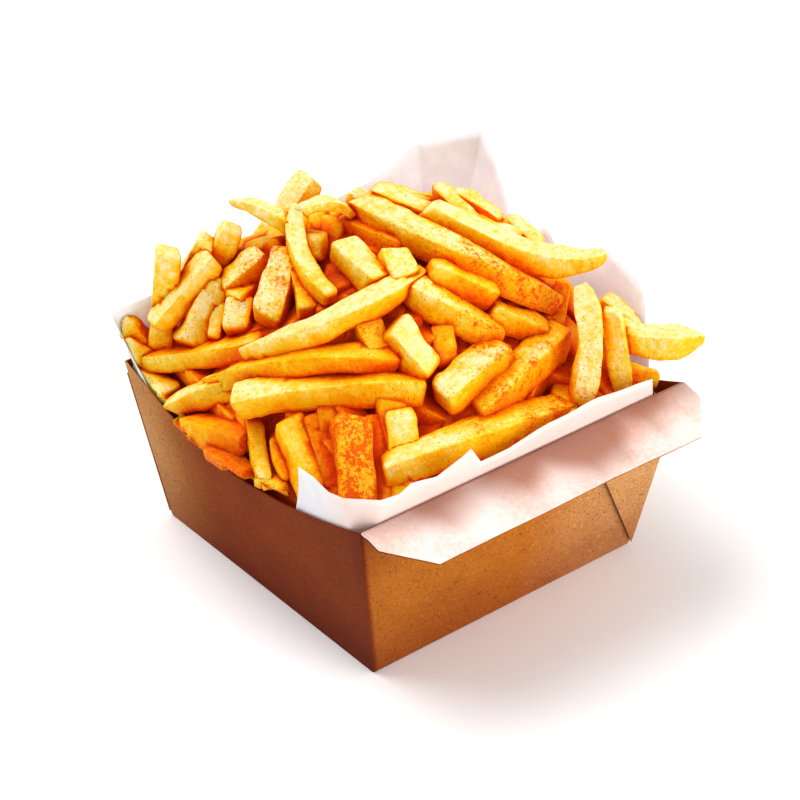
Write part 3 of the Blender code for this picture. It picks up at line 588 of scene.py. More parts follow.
@dataclass
class Carton:
    """The blank of card, folded up: base, four flared walls and a web folded flat outside two corners."""

    base_x: float = 104.5
    base_y: float = 102.4
    height: float = 60.0
    flare_x: float = 11.65
    flare_y: float = 6.35
    card: float = 0.5
    side_dip: float = 15.5
    dip_middle: float = 10.0
    dip_power: float = 1.8
    fold_radius: float = 0.9
    web_top: float = 43.0
    web_gap: float = 0.35
    web_drop: float = 5.0
    web_foot: float = 1.5
    web_lift: float = 1.1
    wall_bow: float = 0.45
    cuts: int = 30

    def half_x(self, z: float) -> float:
        """Half the carton's outer width at height z."""
        return self.base_x / 2 + self.flare_x * z / self.height

    def half_y(self, z: float) -> float:
        """Half the carton's outer depth at height z."""
        return self.base_y / 2 + self.flare_y * z / self.height

    def side_rim(self, y: float) -> float:
        """Height of the side walls' rim, which dips in a long curve."""
        end = self.half_y(self.height) - math.copysign(self.dip_middle, y - self.dip_middle)
        along = min(abs(y - self.dip_middle) / end, 1.0)
        return self.height - self.side_dip * (1 - along**self.dip_power)

    def build(self, kraft: bpy.types.Material) -> bpy.types.Object:
        """Model the folded blank as one shell with its two webs.

        Args:
            kraft: The card's finish.

        Returns:
            The carton.
        """
        bm = bmesh.new()
        bmesh.ops.create_cube(bm, size=2)
        for vert in bm.verts:
            z = self.height if vert.co.z > 0 else 0.0
            x, y = math.copysign(self.half_x(z), vert.co.x), math.copysign(self.half_y(z), vert.co.y)
            vert.co = Vector((x, y, z))
        lid = [face for face in bm.faces if face.normal.z > 0.9]
        bmesh.ops.delete(bm, geom=lid, context="FACES_ONLY")
        folds = [edge for edge in bm.edges if len(edge.link_faces) == 2]
        bmesh.ops.bevel(
            bm, geom=folds, offset=self.fold_radius, segments=3, profile=0.5, affect="EDGES", material=-1
        )
        walls = [face for face in bm.faces if face.calc_area() > self.height * 40]
        sides = {edge for face in walls for edge in face.edges}
        bmesh.ops.subdivide_edges(bm, edges=list(sides), cuts=self.cuts, use_grid_fill=True)
        for vert in bm.verts:
            if abs(vert.co.x) > self.half_x(vert.co.z) - self.fold_radius:
                vert.co.z *= self.side_rim(vert.co.y) / self.height
                vert.co.x = math.copysign(self.half_x(vert.co.z), vert.co.x)
        self.bow_walls(bm)
        bmesh.ops.recalc_face_normals(bm, faces=bm.faces)
        for turned in (False, True):
            self.add_web(bm, turned)
        carton = make_piece(bm, "folded_carton", [kraft])
        shell = carton.modifiers.new("Card", "SOLIDIFY")
        shell.thickness = self.card * MM
        shell.offset = -1
        shell.use_even_offset = True
        edges = carton.modifiers.new("Cut edges", "BEVEL")
        edges.width = 0.09 * MM
        edges.segments = 2
        edges.limit_method = "ANGLE"
        edges.angle_limit = math.radians(50)
        carton.data.shade_smooth()
        carton.data.set_sharp_from_angle(angle=math.radians(40))
        return carton

    def bow_walls(self, bm: bmesh.types.BMesh) -> None:
        """Let each wall bow and ripple a little, as filled card does, and keep its folds and rim corners."""
        for vert in bm.verts:
            x, y, z = vert.co
            creased = y < -self.half_y(z) + self.card
            up = math.sin(math.pi * min(z / self.height, 1.0) * (1.0 if creased else 0.75))
            if abs(y) >= self.half_y(z) - self.card:
                hold = math.cos(math.pi / 2 * min(abs(x) / self.half_x(z), 1.0))
                ripple = noise.noise(Vector((x, y, z)) / 34) * 0.5
                vert.co.y += math.copysign(self.wall_bow * up * hold * (0.4 + ripple), y)
            elif abs(x) >= self.half_x(z) - self.card:
                hold = math.cos(math.pi / 2 * min(abs(y) / self.half_y(z), 1.0))
                ripple = noise.noise(Vector((x, y, z)) / 34) * 0.5
                vert.co.x += math.copysign(self.wall_bow * up * hold * (0.4 + ripple), x)

    def add_web(self, bm: bmesh.types.BMesh, turned: bool) -> None:
        """Add one corner's spare triangle of card, its free edge springing a little off the wall.

        Args:
            bm: The carton's shell, before it gets its thickness.
            turned: False for the front right corner, True for the one across from it.
        """
        foot = Vector((self.half_x(0), -self.half_y(0), 0))
        top = Vector((self.half_x(self.height), -self.half_y(self.height), self.height))
        lean = (top - foot).normalized()
        outward = Vector((1, 0, 0)).cross(lean).normalized()
        reach = 1 - self.web_drop / (top - foot).length
        upper = [foot + (end - foot) * reach for end in (top, top - Vector((self.web_top, 0, 0)))]
        corners = [foot + lean * self.web_foot, *upper]
        face = bm.faces.new([bm.verts.new(corner) for corner in corners])
        cut = bmesh.ops.subdivide_edges(bm, edges=face.edges[:], cuts=14, use_grid_fill=True)
        verts = {item for item in cut["geom"] if isinstance(item, bmesh.types.BMVert)} | {
            vert for item in cut["geom"] if isinstance(item, bmesh.types.BMFace) for vert in item.verts
        }
        bow_back = self.card + self.web_gap
        seam = (upper[1] - corners[0]).normalized()
        inwards = outward.cross(seam).normalized()
        if inwards.dot(upper[0] - corners[0]) < 0:
            inwards = -inwards
        for vert in verts:
            from_seam = max((vert.co - corners[0]).dot(inwards), 0.0)
            up = min(max(vert.co.z / self.height, 0.0), 1.0)
            spring = (0.4 if turned else 1.0) * self.web_lift * up * math.exp(-from_seam / 7.0)
            vert.co += outward * (bow_back + spring)
        if turned:
            bmesh.ops.rotate(bm, cent=(0, 0, 0), matrix=Matrix.Rotation(math.pi, 3, "Z"), verts=list(verts))
        web_faces = list({face for vert in verts for face in vert.link_faces})
        side = -1 if turned else 1
        if web_faces[0].normal.dot(outward) * side < 0:
            bmesh.ops.reverse_faces(bm, faces=web_faces)


@dataclass
class FrontFlap:
    """The chamfered flap that folds along the top of the front wall, pale above and kraft below."""

    carton: Carton
    out: float = 20.6
    chamfer_x: float = 12.0
    chamfer_y: float = 12.6
    droop: float = 13.0
    clearance: float = 0.1
    end_gap: float = 0.3
    wave: float = 0.55
    still: float = 2.5
    cuts_x: int = 110
    cuts_y: int = 18

    def build(self, pale: bpy.types.Material, kraft: bpy.types.Material) -> bpy.types.Object:
        """Model the flap as a sheet with soft waves, then give it the card's thickness.

        Args:
            pale: The upper face's finish.
            kraft: The finish of the lower face and the cut edge.

        Returns:
            The flap.
        """
        half = self.carton.half_x(self.carton.height) - self.end_gap
        bm = bmesh.new()
        bmesh.ops.create_grid(bm, x_segments=self.cuts_x, y_segments=self.cuts_y, size=1)
        for vert in bm.verts:
            along = (1 - vert.co.y) / 2
            vert.co = Vector((vert.co.x * half, -self.clearance - (self.out - self.clearance) * along, 0))
        for side in (-1, 1):
            corner = Vector((side * half, -(self.out - self.chamfer_y), 0))
            outward = Vector((side * self.chamfer_y, -self.chamfer_x, 0)).normalized()
            geometry = bm.verts[:] + bm.edges[:] + bm.faces[:]
            bmesh.ops.bisect_plane(bm, geom=geometry, plane_co=corner, plane_no=outward, clear_outer=True)
        for vert in bm.verts:
            loose = smoothstep((-vert.co.y - self.still) / 8)
            ripple = noise.noise(Vector((vert.co.x / 24, vert.co.y / 13, 3.1)))
            fine = noise.noise(Vector((vert.co.x / 9, vert.co.y / 7, 8.4)))
            vert.co.z += loose * self.wave * (ripple * 1.3 + fine * 0.3)
        bmesh.ops.recalc_face_normals(bm, faces=bm.faces)
        if sum(face.normal.z for face in bm.faces) < 0:
            bmesh.ops.reverse_faces(bm, faces=bm.faces)
        tilt = Matrix.Rotation(math.radians(self.droop), 3, "X")
        bmesh.ops.rotate(bm, cent=(0, 0, 0), matrix=tilt, verts=bm.verts)
        fold = Vector((0, -self.carton.half_y(self.carton.height), self.carton.height))
        bmesh.ops.translate(bm, vec=fold, verts=bm.verts)
        flap = make_piece(bm, "pale_front_flap", [pale, kraft])
        sheet = flap.modifiers.new("Card", "SOLIDIFY")
        sheet.thickness = self.carton.card * MM
        sheet.offset = 1
        sheet.material_offset = 1
        sheet.material_offset_rim = 1
        flap.data.shade_smooth()
        return flap


@dataclass
class PaperLiner:
    """The greaseproof sheet pressed into the carton, its cut edge standing uneven above the rim.

    Each stop of its edge is a wall, the place along it and the edge's height there.
    """

    carton: Carton
    sheet: float = 0.16
    gap: float = 0.4
    corner: float = 5.0
    step: float = 1.6
    rows: int = 26
    stray: float = 0.3
    stray_start: float = 36.0
    stray_reach: float = 20.0
    crumple: float = 1.1

    EDGE = (
        (Wall.FRONT, -57, 69), (Wall.FRONT, -50, 68), (Wall.FRONT, -46, 70), (Wall.FRONT, -36, 68),
        (Wall.FRONT, -27, 71), (Wall.FRONT, -24, 72.5), (Wall.FRONT, -19, 65.5), (Wall.FRONT, -8, 65.5),
        (Wall.FRONT, 7, 68.5), (Wall.FRONT, 27, 69), (Wall.FRONT, 44, 67.5), (Wall.FRONT, 50, 66.5),
        (Wall.FRONT, 52, 58), (Wall.FRONT, 58, 52),
        (Wall.RIGHT, -53, 50), (Wall.RIGHT, -45, 54), (Wall.RIGHT, -42, 66), (Wall.RIGHT, -33, 80),
        (Wall.RIGHT, -27, 83.5), (Wall.RIGHT, -16, 87.5), (Wall.RIGHT, -12, 82), (Wall.RIGHT, 0, 75),
        (Wall.RIGHT, 5, 78), (Wall.RIGHT, 10.5, 83), (Wall.RIGHT, 16, 78), (Wall.RIGHT, 28, 79),
        (Wall.RIGHT, 35, 88), (Wall.RIGHT, 40, 94), (Wall.RIGHT, 48, 101.5),
        (Wall.BACK, 58, 95), (Wall.BACK, 49, 91.5), (Wall.BACK, 36, 88.5), (Wall.BACK, 25, 87),
        (Wall.BACK, -13, 81.5), (Wall.BACK, -46, 78.5), (Wall.BACK, -62, 78),
        (Wall.LEFT, 54, 63), (Wall.LEFT, 50, 58), (Wall.LEFT, 44, 46), (Wall.LEFT, 30, 40),
        (Wall.LEFT, -8, 38), (Wall.LEFT, -22, 42), (Wall.LEFT, -28, 58), (Wall.LEFT, -31, 69),
        (Wall.LEFT, -38, 69.5), (Wall.LEFT, -45, 68), (Wall.LEFT, -52, 70),
    )  # fmt: skip

    def wall_place(self, wall: Wall, along: float, z: float, inset: float) -> Vector:
        """A point on a wall's inner face.

        Args:
            wall: Which wall.
            along: The place along it.
            z: The height.
            inset: How far inwards of the card.

        Returns:
            The point, its corners rounded.
        """
        across_x = self.carton.half_x(z) - self.carton.card - inset
        across_y = self.carton.half_y(z) - self.carton.card - inset
        x, y = {
            Wall.FRONT: (along, -across_y),
            Wall.RIGHT: (across_x, along),
            Wall.BACK: (along, across_y),
            Wall.LEFT: (-across_x, along),
        }[wall]
        inner_x, inner_y = across_x - self.corner, across_y - self.corner
        x = min(max(x, -across_x), across_x)
        y = min(max(y, -across_y), across_y)
        over = Vector((max(abs(x) - inner_x, 0), max(abs(y) - inner_y, 0)))
        if over.x > 0 and over.y > 0:
            over = over.normalized() * self.corner
            x = math.copysign(inner_x + over.x, x)
            y = math.copysign(inner_y + over.y, y)
        return Vector((x, y, z))

    def stations(self) -> list[tuple[Wall, float, float]]:
        """The edge's stops with more between them, evenly spread along each stretch."""
        found = []
        for start, stop in zip(self.EDGE, self.EDGE[1:] + self.EDGE[:1]):
            if start[0] != stop[0]:
                found.append(start)
                continue
            count = max(1, round(abs(stop[1] - start[1]) / self.step))
            for number in range(count):
                share = number / count
                place = start[1] + (stop[1] - start[1]) * share
                found.append((start[0], place, start[2] + (stop[2] - start[2]) * share))
        return found

    def lean(self, wall: Wall, along: float, z: float) -> float:
        """How far the paper leans out of its wall's plane above the rim, in soft waves."""
        rise = max(z - self.carton.height, 0.0)
        wave = 0.5 + 0.5 * math.sin(along * 0.21 + wall * 1.7)
        return rise * (0.02 + 0.05 * wave)

    def point(self, wall: Wall, along: float, z: float, inset: float) -> Vector:
        """A point of the paper. Its loose end at the back left strays sideways, past the carton's corner."""
        place = self.wall_place(wall, along, z, inset - self.lean(wall, along, z))
        if wall == Wall.BACK:
            stray = smoothstep((-along - self.stray_start) / self.stray_reach)
            place.x -= self.stray * max(z - self.carton.height, 0.0) * stray
        return place

    def crumpled(self, place: Vector) -> Vector:
        """Move a point of the paper by its soft crumples, which only have room above the rim."""
        free = smoothstep((place.z - self.carton.height) / 14)
        level = Vector((place.x, place.y, 0)).normalized()
        fold = noise.noise(place / 17) * 1.3 + noise.noise(place / 6) * 0.3
        return place + level * (fold * self.crumple * free)

    def build(self, paper: bpy.types.Material) -> bpy.types.Object:
        """Bend a fine grid round the walls, close its seam and its foot, then thicken it.

        Args:
            paper: The paper's finish.

        Returns:
            The liner.
        """
        stations = self.stations()
        foot = self.carton.card + self.gap
        bm = bmesh.new()
        bmesh.ops.create_grid(bm, x_segments=len(stations), y_segments=self.rows, size=1)
        for vert in bm.verts:
            station = round((vert.co.x + 1) / 2 * len(stations)) % len(stations)
            row = (vert.co.y + 1) / 2
            wall, along, top = stations[station]
            z = foot + (top - foot) * row
            vert.co = self.crumpled(self.point(wall, along, z, self.gap))
        bmesh.ops.remove_doubles(bm, verts=bm.verts, dist=0.001)
        rims = [edge for edge in bm.edges if edge.is_boundary]
        ring = [edge for edge in rims if all(vert.co.z < foot + 0.01 for vert in edge.verts)]
        bmesh.ops.contextual_create(bm, geom=ring)
        bmesh.ops.recalc_face_normals(bm, faces=bm.faces)
        bmesh.ops.triangulate(bm, faces=[face for face in bm.faces if len(face.verts) > 4])
        liner = make_piece(bm, "paper_liner", [paper])
        sheet = liner.modifiers.new("Paper", "SOLIDIFY")
        sheet.thickness = self.sheet * MM
        sheet.offset = -1
        liner.data.shade_smooth()
        return liner


@dataclass(frozen=True)
class At:
    """An end or a middle of a fry: its pixel, with its lift above the heap or its own height."""

    u: float
    v: float
    lift: float = 0.0
    height: float | None = None


THICK, REGULAR, SLIM, THIN = 9.6, 8.6, 7.2, 5.4


@dataclass(frozen=True)
class Fry:
    """A fry that the photograph shows.

    Each pair is the value at its start and at its end. Blunt is how much of its width an end keeps, tone
    runs from pale cream at 0 to deep orange at 1, and spice is how thickly paprika lies on it. Tone holds a
    fry's own colour and, for fries that lie low or behind others, painted shade.
    """

    name: str
    start: At
    end: At
    middle: At | None
    width: float
    thickness: float
    blunt: tuple[float, float] = (0.85, 0.85)
    tone: tuple[float, float] = (0.4, 0.4)
    spice: tuple[float, float] = (0.1, 0.1)


def shown_fries() -> list[Fry]:
    """The fries that the photograph shows, nearest first."""
    return [
        Fry("front_log", At(236, 402, 0, 70), At(424, 391), At(330, 390, 0, 75.5), THICK, 9.0,
            (0.9, 0.85), (0.2, 0.45), (0.05, 0.5)),
        Fry("white_tipped", At(160, 410, 1), At(300, 366, -2), At(228, 386, 1), REGULAR, 7.5,
            (0.35, 0.9), (0.0, 0.75), (0.0, 0.4)),
        Fry("arched_paprika", At(212, 385, 1), At(396, 360), At(300, 361, 3), 8.0, 6.5,
            (0.8, 0.8), (0.5, 0.5), (0.6, 0.35)),
        Fry("flat_left", At(126, 360, 1), At(264, 344, -1), At(190, 357), REGULAR, 6.5,
            (0.5, 0.9), (0.1, 0.5), (0.05, 0.7)),
        Fry("long_diagonal", At(246, 355, 4), At(424, 271, 3), At(338, 320, 5), 7.8, SLIM,
            (0.85, 0.45), (0.12, 0.2), (0.0, 0.05)),
        Fry("thin_twist", At(254, 418), At(268, 492, 1), At(258, 450), THIN, 5.0,
            (0.8, 0.5), (0.5, 0.25), (0.1, 0.2)),
        Fry("rim_stub", At(258, 482), At(286, 490), None, 6.0, THIN, (0.85, 0.85), (0.4, 0.25), (0.6, 0.3)),
        Fry("thin_blade", At(272, 438), At(287, 480, 1), None, 4.0, 2.8, (0.3, 0.4), (0.3, 0.5), (0.0, 0.0)),
        Fry("tan_leaning", At(288, 424, -2), At(318, 494, -2), None, 10.0, 9.0,
            (0.85, 0.9), (0.5, 0.5), (0.05, 0.05)),
        Fry("dark_leaning", At(313, 418, -5), At(334, 490, -6), None, 8.0, 8.0,
            (0.85, 0.9), (1.0, 1.0), (0.1, 0.1)),
        Fry("paprika_upright", At(350, 419, 2), At(359, 505), None, 11.0, THICK,
            (0.9, 1.0), (0.7, 0.8), (1.0, 1.0)),
        Fry("behind_upright", At(372, 416, -4), At(388, 500, -5), None, 8.0, 8.0,
            (0.85, 0.9), (1.0, 1.0), (0.1, 0.1)),
        Fry("pale_upright", At(398, 410), At(405, 470, -3), None, THICK, 8.4,
            (0.85, 0.9), (0.4, 0.4), (0.1, 0.05)),
        Fry("front_right_long", At(382, 474, 1), At(574, 405, -2), At(470, 441, 1), 10.2, 10.0,
            (0.8, 0.6), (0.25, 0.55), (0.05, 1.0)),
        Fry("stubby_pale", At(441, 400, 4), At(503, 350, 3), None, 10.6, 10.0,
            (0.8, 0.9), (0.05, 0.35), (0.3, 0.95)),
        Fry("right_diagonal", At(474, 414), At(562, 334, 3), At(518, 374, 3), 10.4, THICK,
            (0.9, 0.8), (0.3, 0.35), (0.8, 0.7)),
        Fry("pale_centre", At(391, 325, 2), At(426, 376), None, 10.0, THICK,
            (0.85, 0.9), (0.05, 0.2), (0.0, 0.1)),
        Fry("small_dark", At(440, 326, -2), At(446, 368, -4), None, SLIM, 7.0,
            (0.85, 0.85), (0.6, 0.8), (0.4, 0.3)),
        Fry("centre_diagonal", At(410, 287, 3), At(500, 340, 1), At(452, 313, 3), 9.4, 9.2,
            (0.7, 0.8), (0.1, 0.5), (0.3, 0.9)),
        Fry("short_yellow", At(428, 271, 5), At(492, 295, 4), None, 9.2, 9.0,
            (0.8, 0.9), (0.4, 0.45), (0.05, 0.1)),
        Fry("right_of_centre", At(488, 312, 2), At(544, 334, 1), None, REGULAR, 8.2,
            (0.85, 0.85), (0.15, 0.5), (0.4, 0.6)),
        Fry("long_paprika", At(360, 207, 5), At(556, 304, 2), At(455, 255, 6), 9.4, 9.0,
            (0.85, 0.8), (0.25, 0.4), (0.4, 1.0)),
        Fry("top_right_long", At(426, 208, 9), At(606, 254, 0, 96), At(530, 257, 10), 9.0, 8.4,
            (0.8, 0.35), (0.15, 0.1), (0.0, 0.0)),
        Fry("top_yellow", At(374, 192, 0, 108), At(432, 220, 5), None, 7.6, 7.6, (0.6, 0.8), (0.35, 0.4)),
        Fry("pale_end", At(350, 198, 0, 104), At(385, 216, 2), None, 7.6, SLIM, (0.85, 0.85), (0.1, 0.2)),
        Fry("top_thin", At(436, 186, 0, 106), At(480, 234, 6), None, THIN, 5.0,
            (0.7, 0.6), (0.4, 0.4), (0.35, 0.3)),
        Fry("top_small", At(454, 191, 0, 101), At(500, 222, 0, 98), None, THIN, THIN,
            (0.6, 0.6), (0.3, 0.35)),
        Fry("top_small_low", At(472, 208, 0, 98), At(502, 234, 0, 94), None, 6.0, 6.0,
            (0.85, 0.85), (0.3, 0.4)),
        Fry("right_back", At(504, 219, 0, 92), At(540, 248, 0, 88), None, 6.6, 6.4, (0.6, 0.6), (0.2, 0.3)),
        Fry("horn", At(230, 202, 0, 104), At(300, 236, 4), At(268, 212, 0, 108), THIN, 4.6,
            (0.2, 0.9), (0.1, 0.25), (0.0, 0.0)),
        Fry("hook_side", At(303, 208, 0, 110), At(332, 300, 2), At(298, 250, 6), 6.0, THIN,
            (0.85, 0.85), (0.05, 0.5), (0.0, 0.3)),
        Fry("hook_top", At(354, 216, 4), At(299, 212, 0, 110), At(328, 203, 0, 110), 5.0, 3.2,
            (0.8, 0.9), (0.1, 0.05), (0.0, 0.0)),
        Fry("tall_back", At(262, 250, 0, 84), At(312, 178, 0, 101), None, 8.6, 7.4,
            (0.85, 0.9), (0.25, 0.05), (0.3, 0.4)),
        Fry("upright_far_left", At(168, 249, 0, 98), At(163, 345), None, 8.2, 8.0,
            (0.9, 0.9), (0.08, 0.05), (0.02, 0.0)),
        Fry("upright_behind", At(208, 240, 0, 98), At(182, 290, -2), None, SLIM, 7.0,
            (0.85, 0.85), (-0.1, 0.0), (0.05, 0.0)),
        Fry("upright_yellow", At(233, 226, 0, 102), At(206, 285, -1), None, 7.6, 7.4,
            (0.85, 0.85), (0.0, 0.05), (0.0, 0.0)),
        Fry("left_back_long", At(214, 258, 0, 94), At(156, 326, 0, 75), None, 8.0, 8.0,
            (0.8, 0.7), (-0.1, 0.05), (0.0, 0.05)),
        Fry("spotted_lean", At(221, 277, 4), At(187, 346, 2), None, 9.4, 9.0,
            (0.85, 0.85), (0.0, 0.0), (0.4, 0.3)),
        Fry("left_wedge", At(120, 316, 0, 75), At(148, 350, 1), None, SLIM, 6.0, (0.3, 0.9), (0.1, 0.2)),
        Fry("left_low", At(122, 342, 0, 67), At(150, 356), None, SLIM, 7.0, (0.85, 0.85), (-0.05, 0.0)),
        Fry("left_pale_low", At(134, 373), At(172, 398, -1), None, 8.8, 8.4, (0.85, 0.85), (-0.1, 0.0)),
        Fry("paprika_back_left", At(264, 254, 3), At(226, 294, 1), None, 8.6, 8.4,
            (0.85, 0.85), (0.0, 0.05), (0.8, 0.4)),
        Fry("paprika_wide", At(290, 252, 3), At(266, 322, 1), None, 9.6, REGULAR,
            (0.85, 0.85), (0.0, 0.25), (0.9, 0.6)),
        Fry("small_stub", At(241, 300), At(237, 334, -1), None, 8.4, 8.0,
            (0.85, 0.85), (0.0, 0.2), (0.4, 0.3)),
        Fry("centre_narrow", At(300, 268), At(307, 314, -1), None, 6.2, 6.0, (0.85, 0.85), (0.4, 0.35)),
        Fry("pale_thin", At(222, 302, 1), At(214, 340), None, 4.6, 4.6, (0.85, 0.85), (0.1, 0.1), (0.0, 0.0)),
        Fry("mid_pale", At(341, 246, 4), At(380, 286, 2), None, 9.0, REGULAR,
            (0.85, 0.85), (0.2, 0.25), (0.05, 0.05)),
        Fry("mid_stub", At(388, 254, 3), At(404, 282, 2), None, THICK, 9.0,
            (0.85, 0.85), (0.3, 0.3), (0.3, 0.2)),
        Fry("mid_orange", At(346, 222), At(404, 250), None, REGULAR, REGULAR,
            (0.85, 0.85), (0.45, 0.55), (0.6, 0.7)),
        Fry("mid_paprika_end", At(364, 320, -1), At(376, 354, -2), None, REGULAR, REGULAR,
            (0.85, 0.85), (0.4, 0.6), (0.8, 0.6)),
        Fry("right_upright", At(583, 286, 0, 92), At(578, 404, 1), At(590, 345, 0, 80), 7.8, SLIM,
            (0.6, 0.8), (0.1, 0.0), (0.05, 0.7)),
        Fry("second_right_upright", At(611, 308, 0, 88), At(621, 388, 1), None, SLIM, 7.0,
            (0.6, 0.85), (-0.1, 0.15), (0.1, 0.05)),
        Fry("right_behind", At(600, 300, 0, 76), At(640, 332, 0, 68), None, 7.6, 7.4,
            (0.85, 0.85), (0.25, 0.25)),
        Fry("far_right_long", At(612, 332, 0, 77), At(704, 337, 0, 74), At(660, 342, 0, 75), 9.0, 8.4,
            (0.9, 0.3), (0.1, 0.15), (0.0, 0.0)),
        Fry("right_small", At(624, 373, 1), At(658, 379, 3), None, 6.0, 5.0, (0.85, 0.85), (0.3, 0.3)),
        Fry("strip_right", At(562, 282, 0, 84), At(557, 330), None, 5.2, 5.0, (0.85, 0.85), (0.3, 0.5)),
        Fry("low_orange", At(190, 427), At(250, 440, -1), None, 9.2, REGULAR,
            (0.85, 0.85), (0.6, 0.9), (0.2, 0.7)),
        Fry("low_rim", At(172, 420, -1), At(205, 447, -2), None, 6.6, 6.0,
            (0.85, 0.85), (0.7, 0.9), (0.6, 0.6)),
        Fry("rim_red", At(212, 452, -1), At(252, 480, -2), None, 8.0, SLIM,
            (0.85, 0.85), (1.0, 1.2), (0.8, 0.9)),
    ]  # fmt: skip


@dataclass
class Bar:
    """One fry as it lies: three places, its cut, its ends, its crust, and how unevenly it is cut."""

    start: Vector
    middle: Vector
    end: Vector
    width: float
    thickness: float
    blunt: tuple[float, float]
    tone: tuple[float, float]
    spice: tuple[float, float]
    swell: list[float]


class Gathering:
    """Many small shapes gathered into one mesh, with values kept for each of their points."""

    def __init__(self) -> None:
        """Start with nothing."""
        self.bm = bmesh.new()
        self.values: dict[str, list[float]] = {"tone": [], "spice": []}

    def take(self, bm: bmesh.types.BMesh, tone: list[float], spice: list[float]) -> None:
        """Move a shape into the gathering.

        Args:
            bm: The shape, which is freed.
            tone: Each point's tone.
            spice: Each point's spice.
        """
        mesh = bpy.data.meshes.new("shape")
        bm.to_mesh(mesh)
        bm.free()
        self.bm.from_mesh(mesh)
        bpy.data.meshes.remove(mesh)
        self.values["tone"] += tone
        self.values["spice"] += spice


@dataclass
class FryHeap:
    """The heaped fries: those that the photograph shows, those that fill between and behind, and a core."""

    view: View
    carton: Carton
    liner: PaperLiner
    seed: int = 41
    deep_seed: int = 7

    rise: float = 46.0
    foot: float = 55.0
    dip: float = 4.0
    half: float = 63.0
    left_fullness: float = 2.6
    right_fullness: float = 3.6
    front_level: float = 0.10
    front_start: float = -60.0
    front_reach: float = 66.0
    back_ease: float = 0.14
    back_start: float = 6.0
    back_reach: float = 50.0
    rear_fall: float = 0.44
    rear_start: float = 34.0
    rear_reach: float = 20.0
    rear_left: float = -38.0
    rear_blend: float = 24.0

    sight_high: float = 125.0
    sight_low: float = 40.0
    sight_step: float = 0.5
    uneven: float = 0.07
    swells: int = 5
    shortest: float = 34.0
    longest: float = 58.0
    facing_back: float = 0.32
    filling_tries: int = 1200
    fill_x: float = 54.0
    fill_y: float = 50.0
    lie_x: float = 56.0
    lie_y: float = 51.0
    filling_squash: float = 0.95
    clear_behind: float = 6.4
    clear_in_front: float = 9.5
    sunk: float = -3.0
    deep_tries: int = 900
    deep_clear: float = 5.5
    deep_sunk: float = -6.0
    core_drop: float = 9.0
    core_cuts: int = 44

    fine_around: int = 6
    fine_along: int = 46
    plain_around: int = 4
    plain_along: int = 26
    corner_power: float = 6.5
    end_round: float = 1.0
    sink: float = 0.3
    lumps: float = 0.62
    blisters: float = 0.2
    edge_tone: float = 0.16
    side_gap: float = 0.5
    rim_margin: float = 5.0

    def height(self, x: float, y: float) -> float:
        """The heap's mean surface: low at the rim, steep at the sides and highest behind the middle."""
        fullness = self.left_fullness if x < 0 else self.right_fullness
        side = max(1 - abs(x / self.half) ** fullness, 0.0)
        climb = smoothstep((y - self.front_start) / self.front_reach)
        front = self.front_level + (1 - self.front_level) * climb
        back = 1 - self.back_ease * min(max((y - self.back_start) / self.back_reach, 0.0), 1.0) ** 2
        rear = smoothstep((y - self.rear_start) / self.rear_reach)
        back -= self.rear_fall * rear * smoothstep((x - self.rear_left) / self.rear_blend)
        foot = self.foot - self.dip * smoothstep(-x / self.half)
        return foot + self.rise * side * front * back

    def place(self, at: At) -> Vector:
        """Where a fry's end or middle lies: on its pixel's sight line, at its height or on the heap."""
        if at.height is not None:
            return self.view.at_height(at.u, at.v, at.height)
        z = self.sight_high
        while z > self.sight_low:
            spot = self.view.at_height(at.u, at.v, z)
            if spot.z <= self.height(spot.x, spot.y) + at.lift:
                return spot
            z -= self.sight_step
        raise ValueError(f"the sight line at {at.u}, {at.v} misses the heap")

    def faces_away(self, x: float, y: float) -> bool:
        """Whether the heap's surface at (x, y) is turned from the viewpoint, where no shown fry lies."""
        step = 2.0
        slope_x = (self.height(x + step, y) - self.height(x - step, y)) / (2 * step)
        slope_y = (self.height(x, y + step) - self.height(x, y - step)) / (2 * step)
        normal = Vector((-slope_x, -slope_y, 1)).normalized()
        return normal.dot(self.view.axes()[2]) < self.facing_back

    def near_a_fry(self, spot: Vector, bars: list[Bar], clear: float) -> bool:
        """Whether a fry already placed passes within that distance of the spot."""
        for bar in bars:
            for here, there in ((bar.start, bar.middle), (bar.middle, bar.end)):
                along = there - here
                share = (spot - here).dot(along) / max(along.length_squared, 1.0)
                if (here + along * min(max(share, 0), 1) - spot).length < clear:
                    return True
        return False

    def swell(self, draw: random.Random) -> list[float]:
        """How much a fry's section grows or shrinks at even steps along it."""
        return [1 + draw.uniform(-self.uneven, self.uneven) for _ in range(self.swells)]

    def shown(self, draw: random.Random) -> list[Bar]:
        """Lay every fry that the photograph shows."""
        bars = []
        for fry in shown_fries():
            start, end = self.place(fry.start), self.place(fry.end)
            middle = self.place(fry.middle) if fry.middle else (start + end) / 2
            bars.append(
                Bar(start, middle, end, fry.width, fry.thickness, fry.blunt, fry.tone, fry.spice,
                    self.swell(draw))
            )  # fmt: skip
        return bars

    def lying(self, draw: random.Random, x: float, y: float, lift: float) -> tuple[Vector, Vector, Vector]:
        """A fry's start, middle and end on the heap at (x, y), turned anyhow and following the surface."""
        length = draw.uniform(self.shortest, self.longest)
        heading = draw.uniform(0, math.pi)
        run = Vector((math.cos(heading), math.sin(heading), 0)) * (length / 2)
        ends = []
        for sign in (-1, 1):
            spot = Vector((x, y, 0)) + run * sign
            spot.x = min(max(spot.x, -self.lie_x), self.lie_x)
            spot.y = min(max(spot.y, -self.lie_y), self.lie_y)
            spot.z = self.height(spot.x, spot.y) + lift + draw.uniform(-1, 2)
            ends.append(spot)
        middle = (ends[0] + ends[1]) / 2
        middle.z = max(middle.z, self.height(x, y) + lift - 3)
        return ends[0], middle, ends[1]

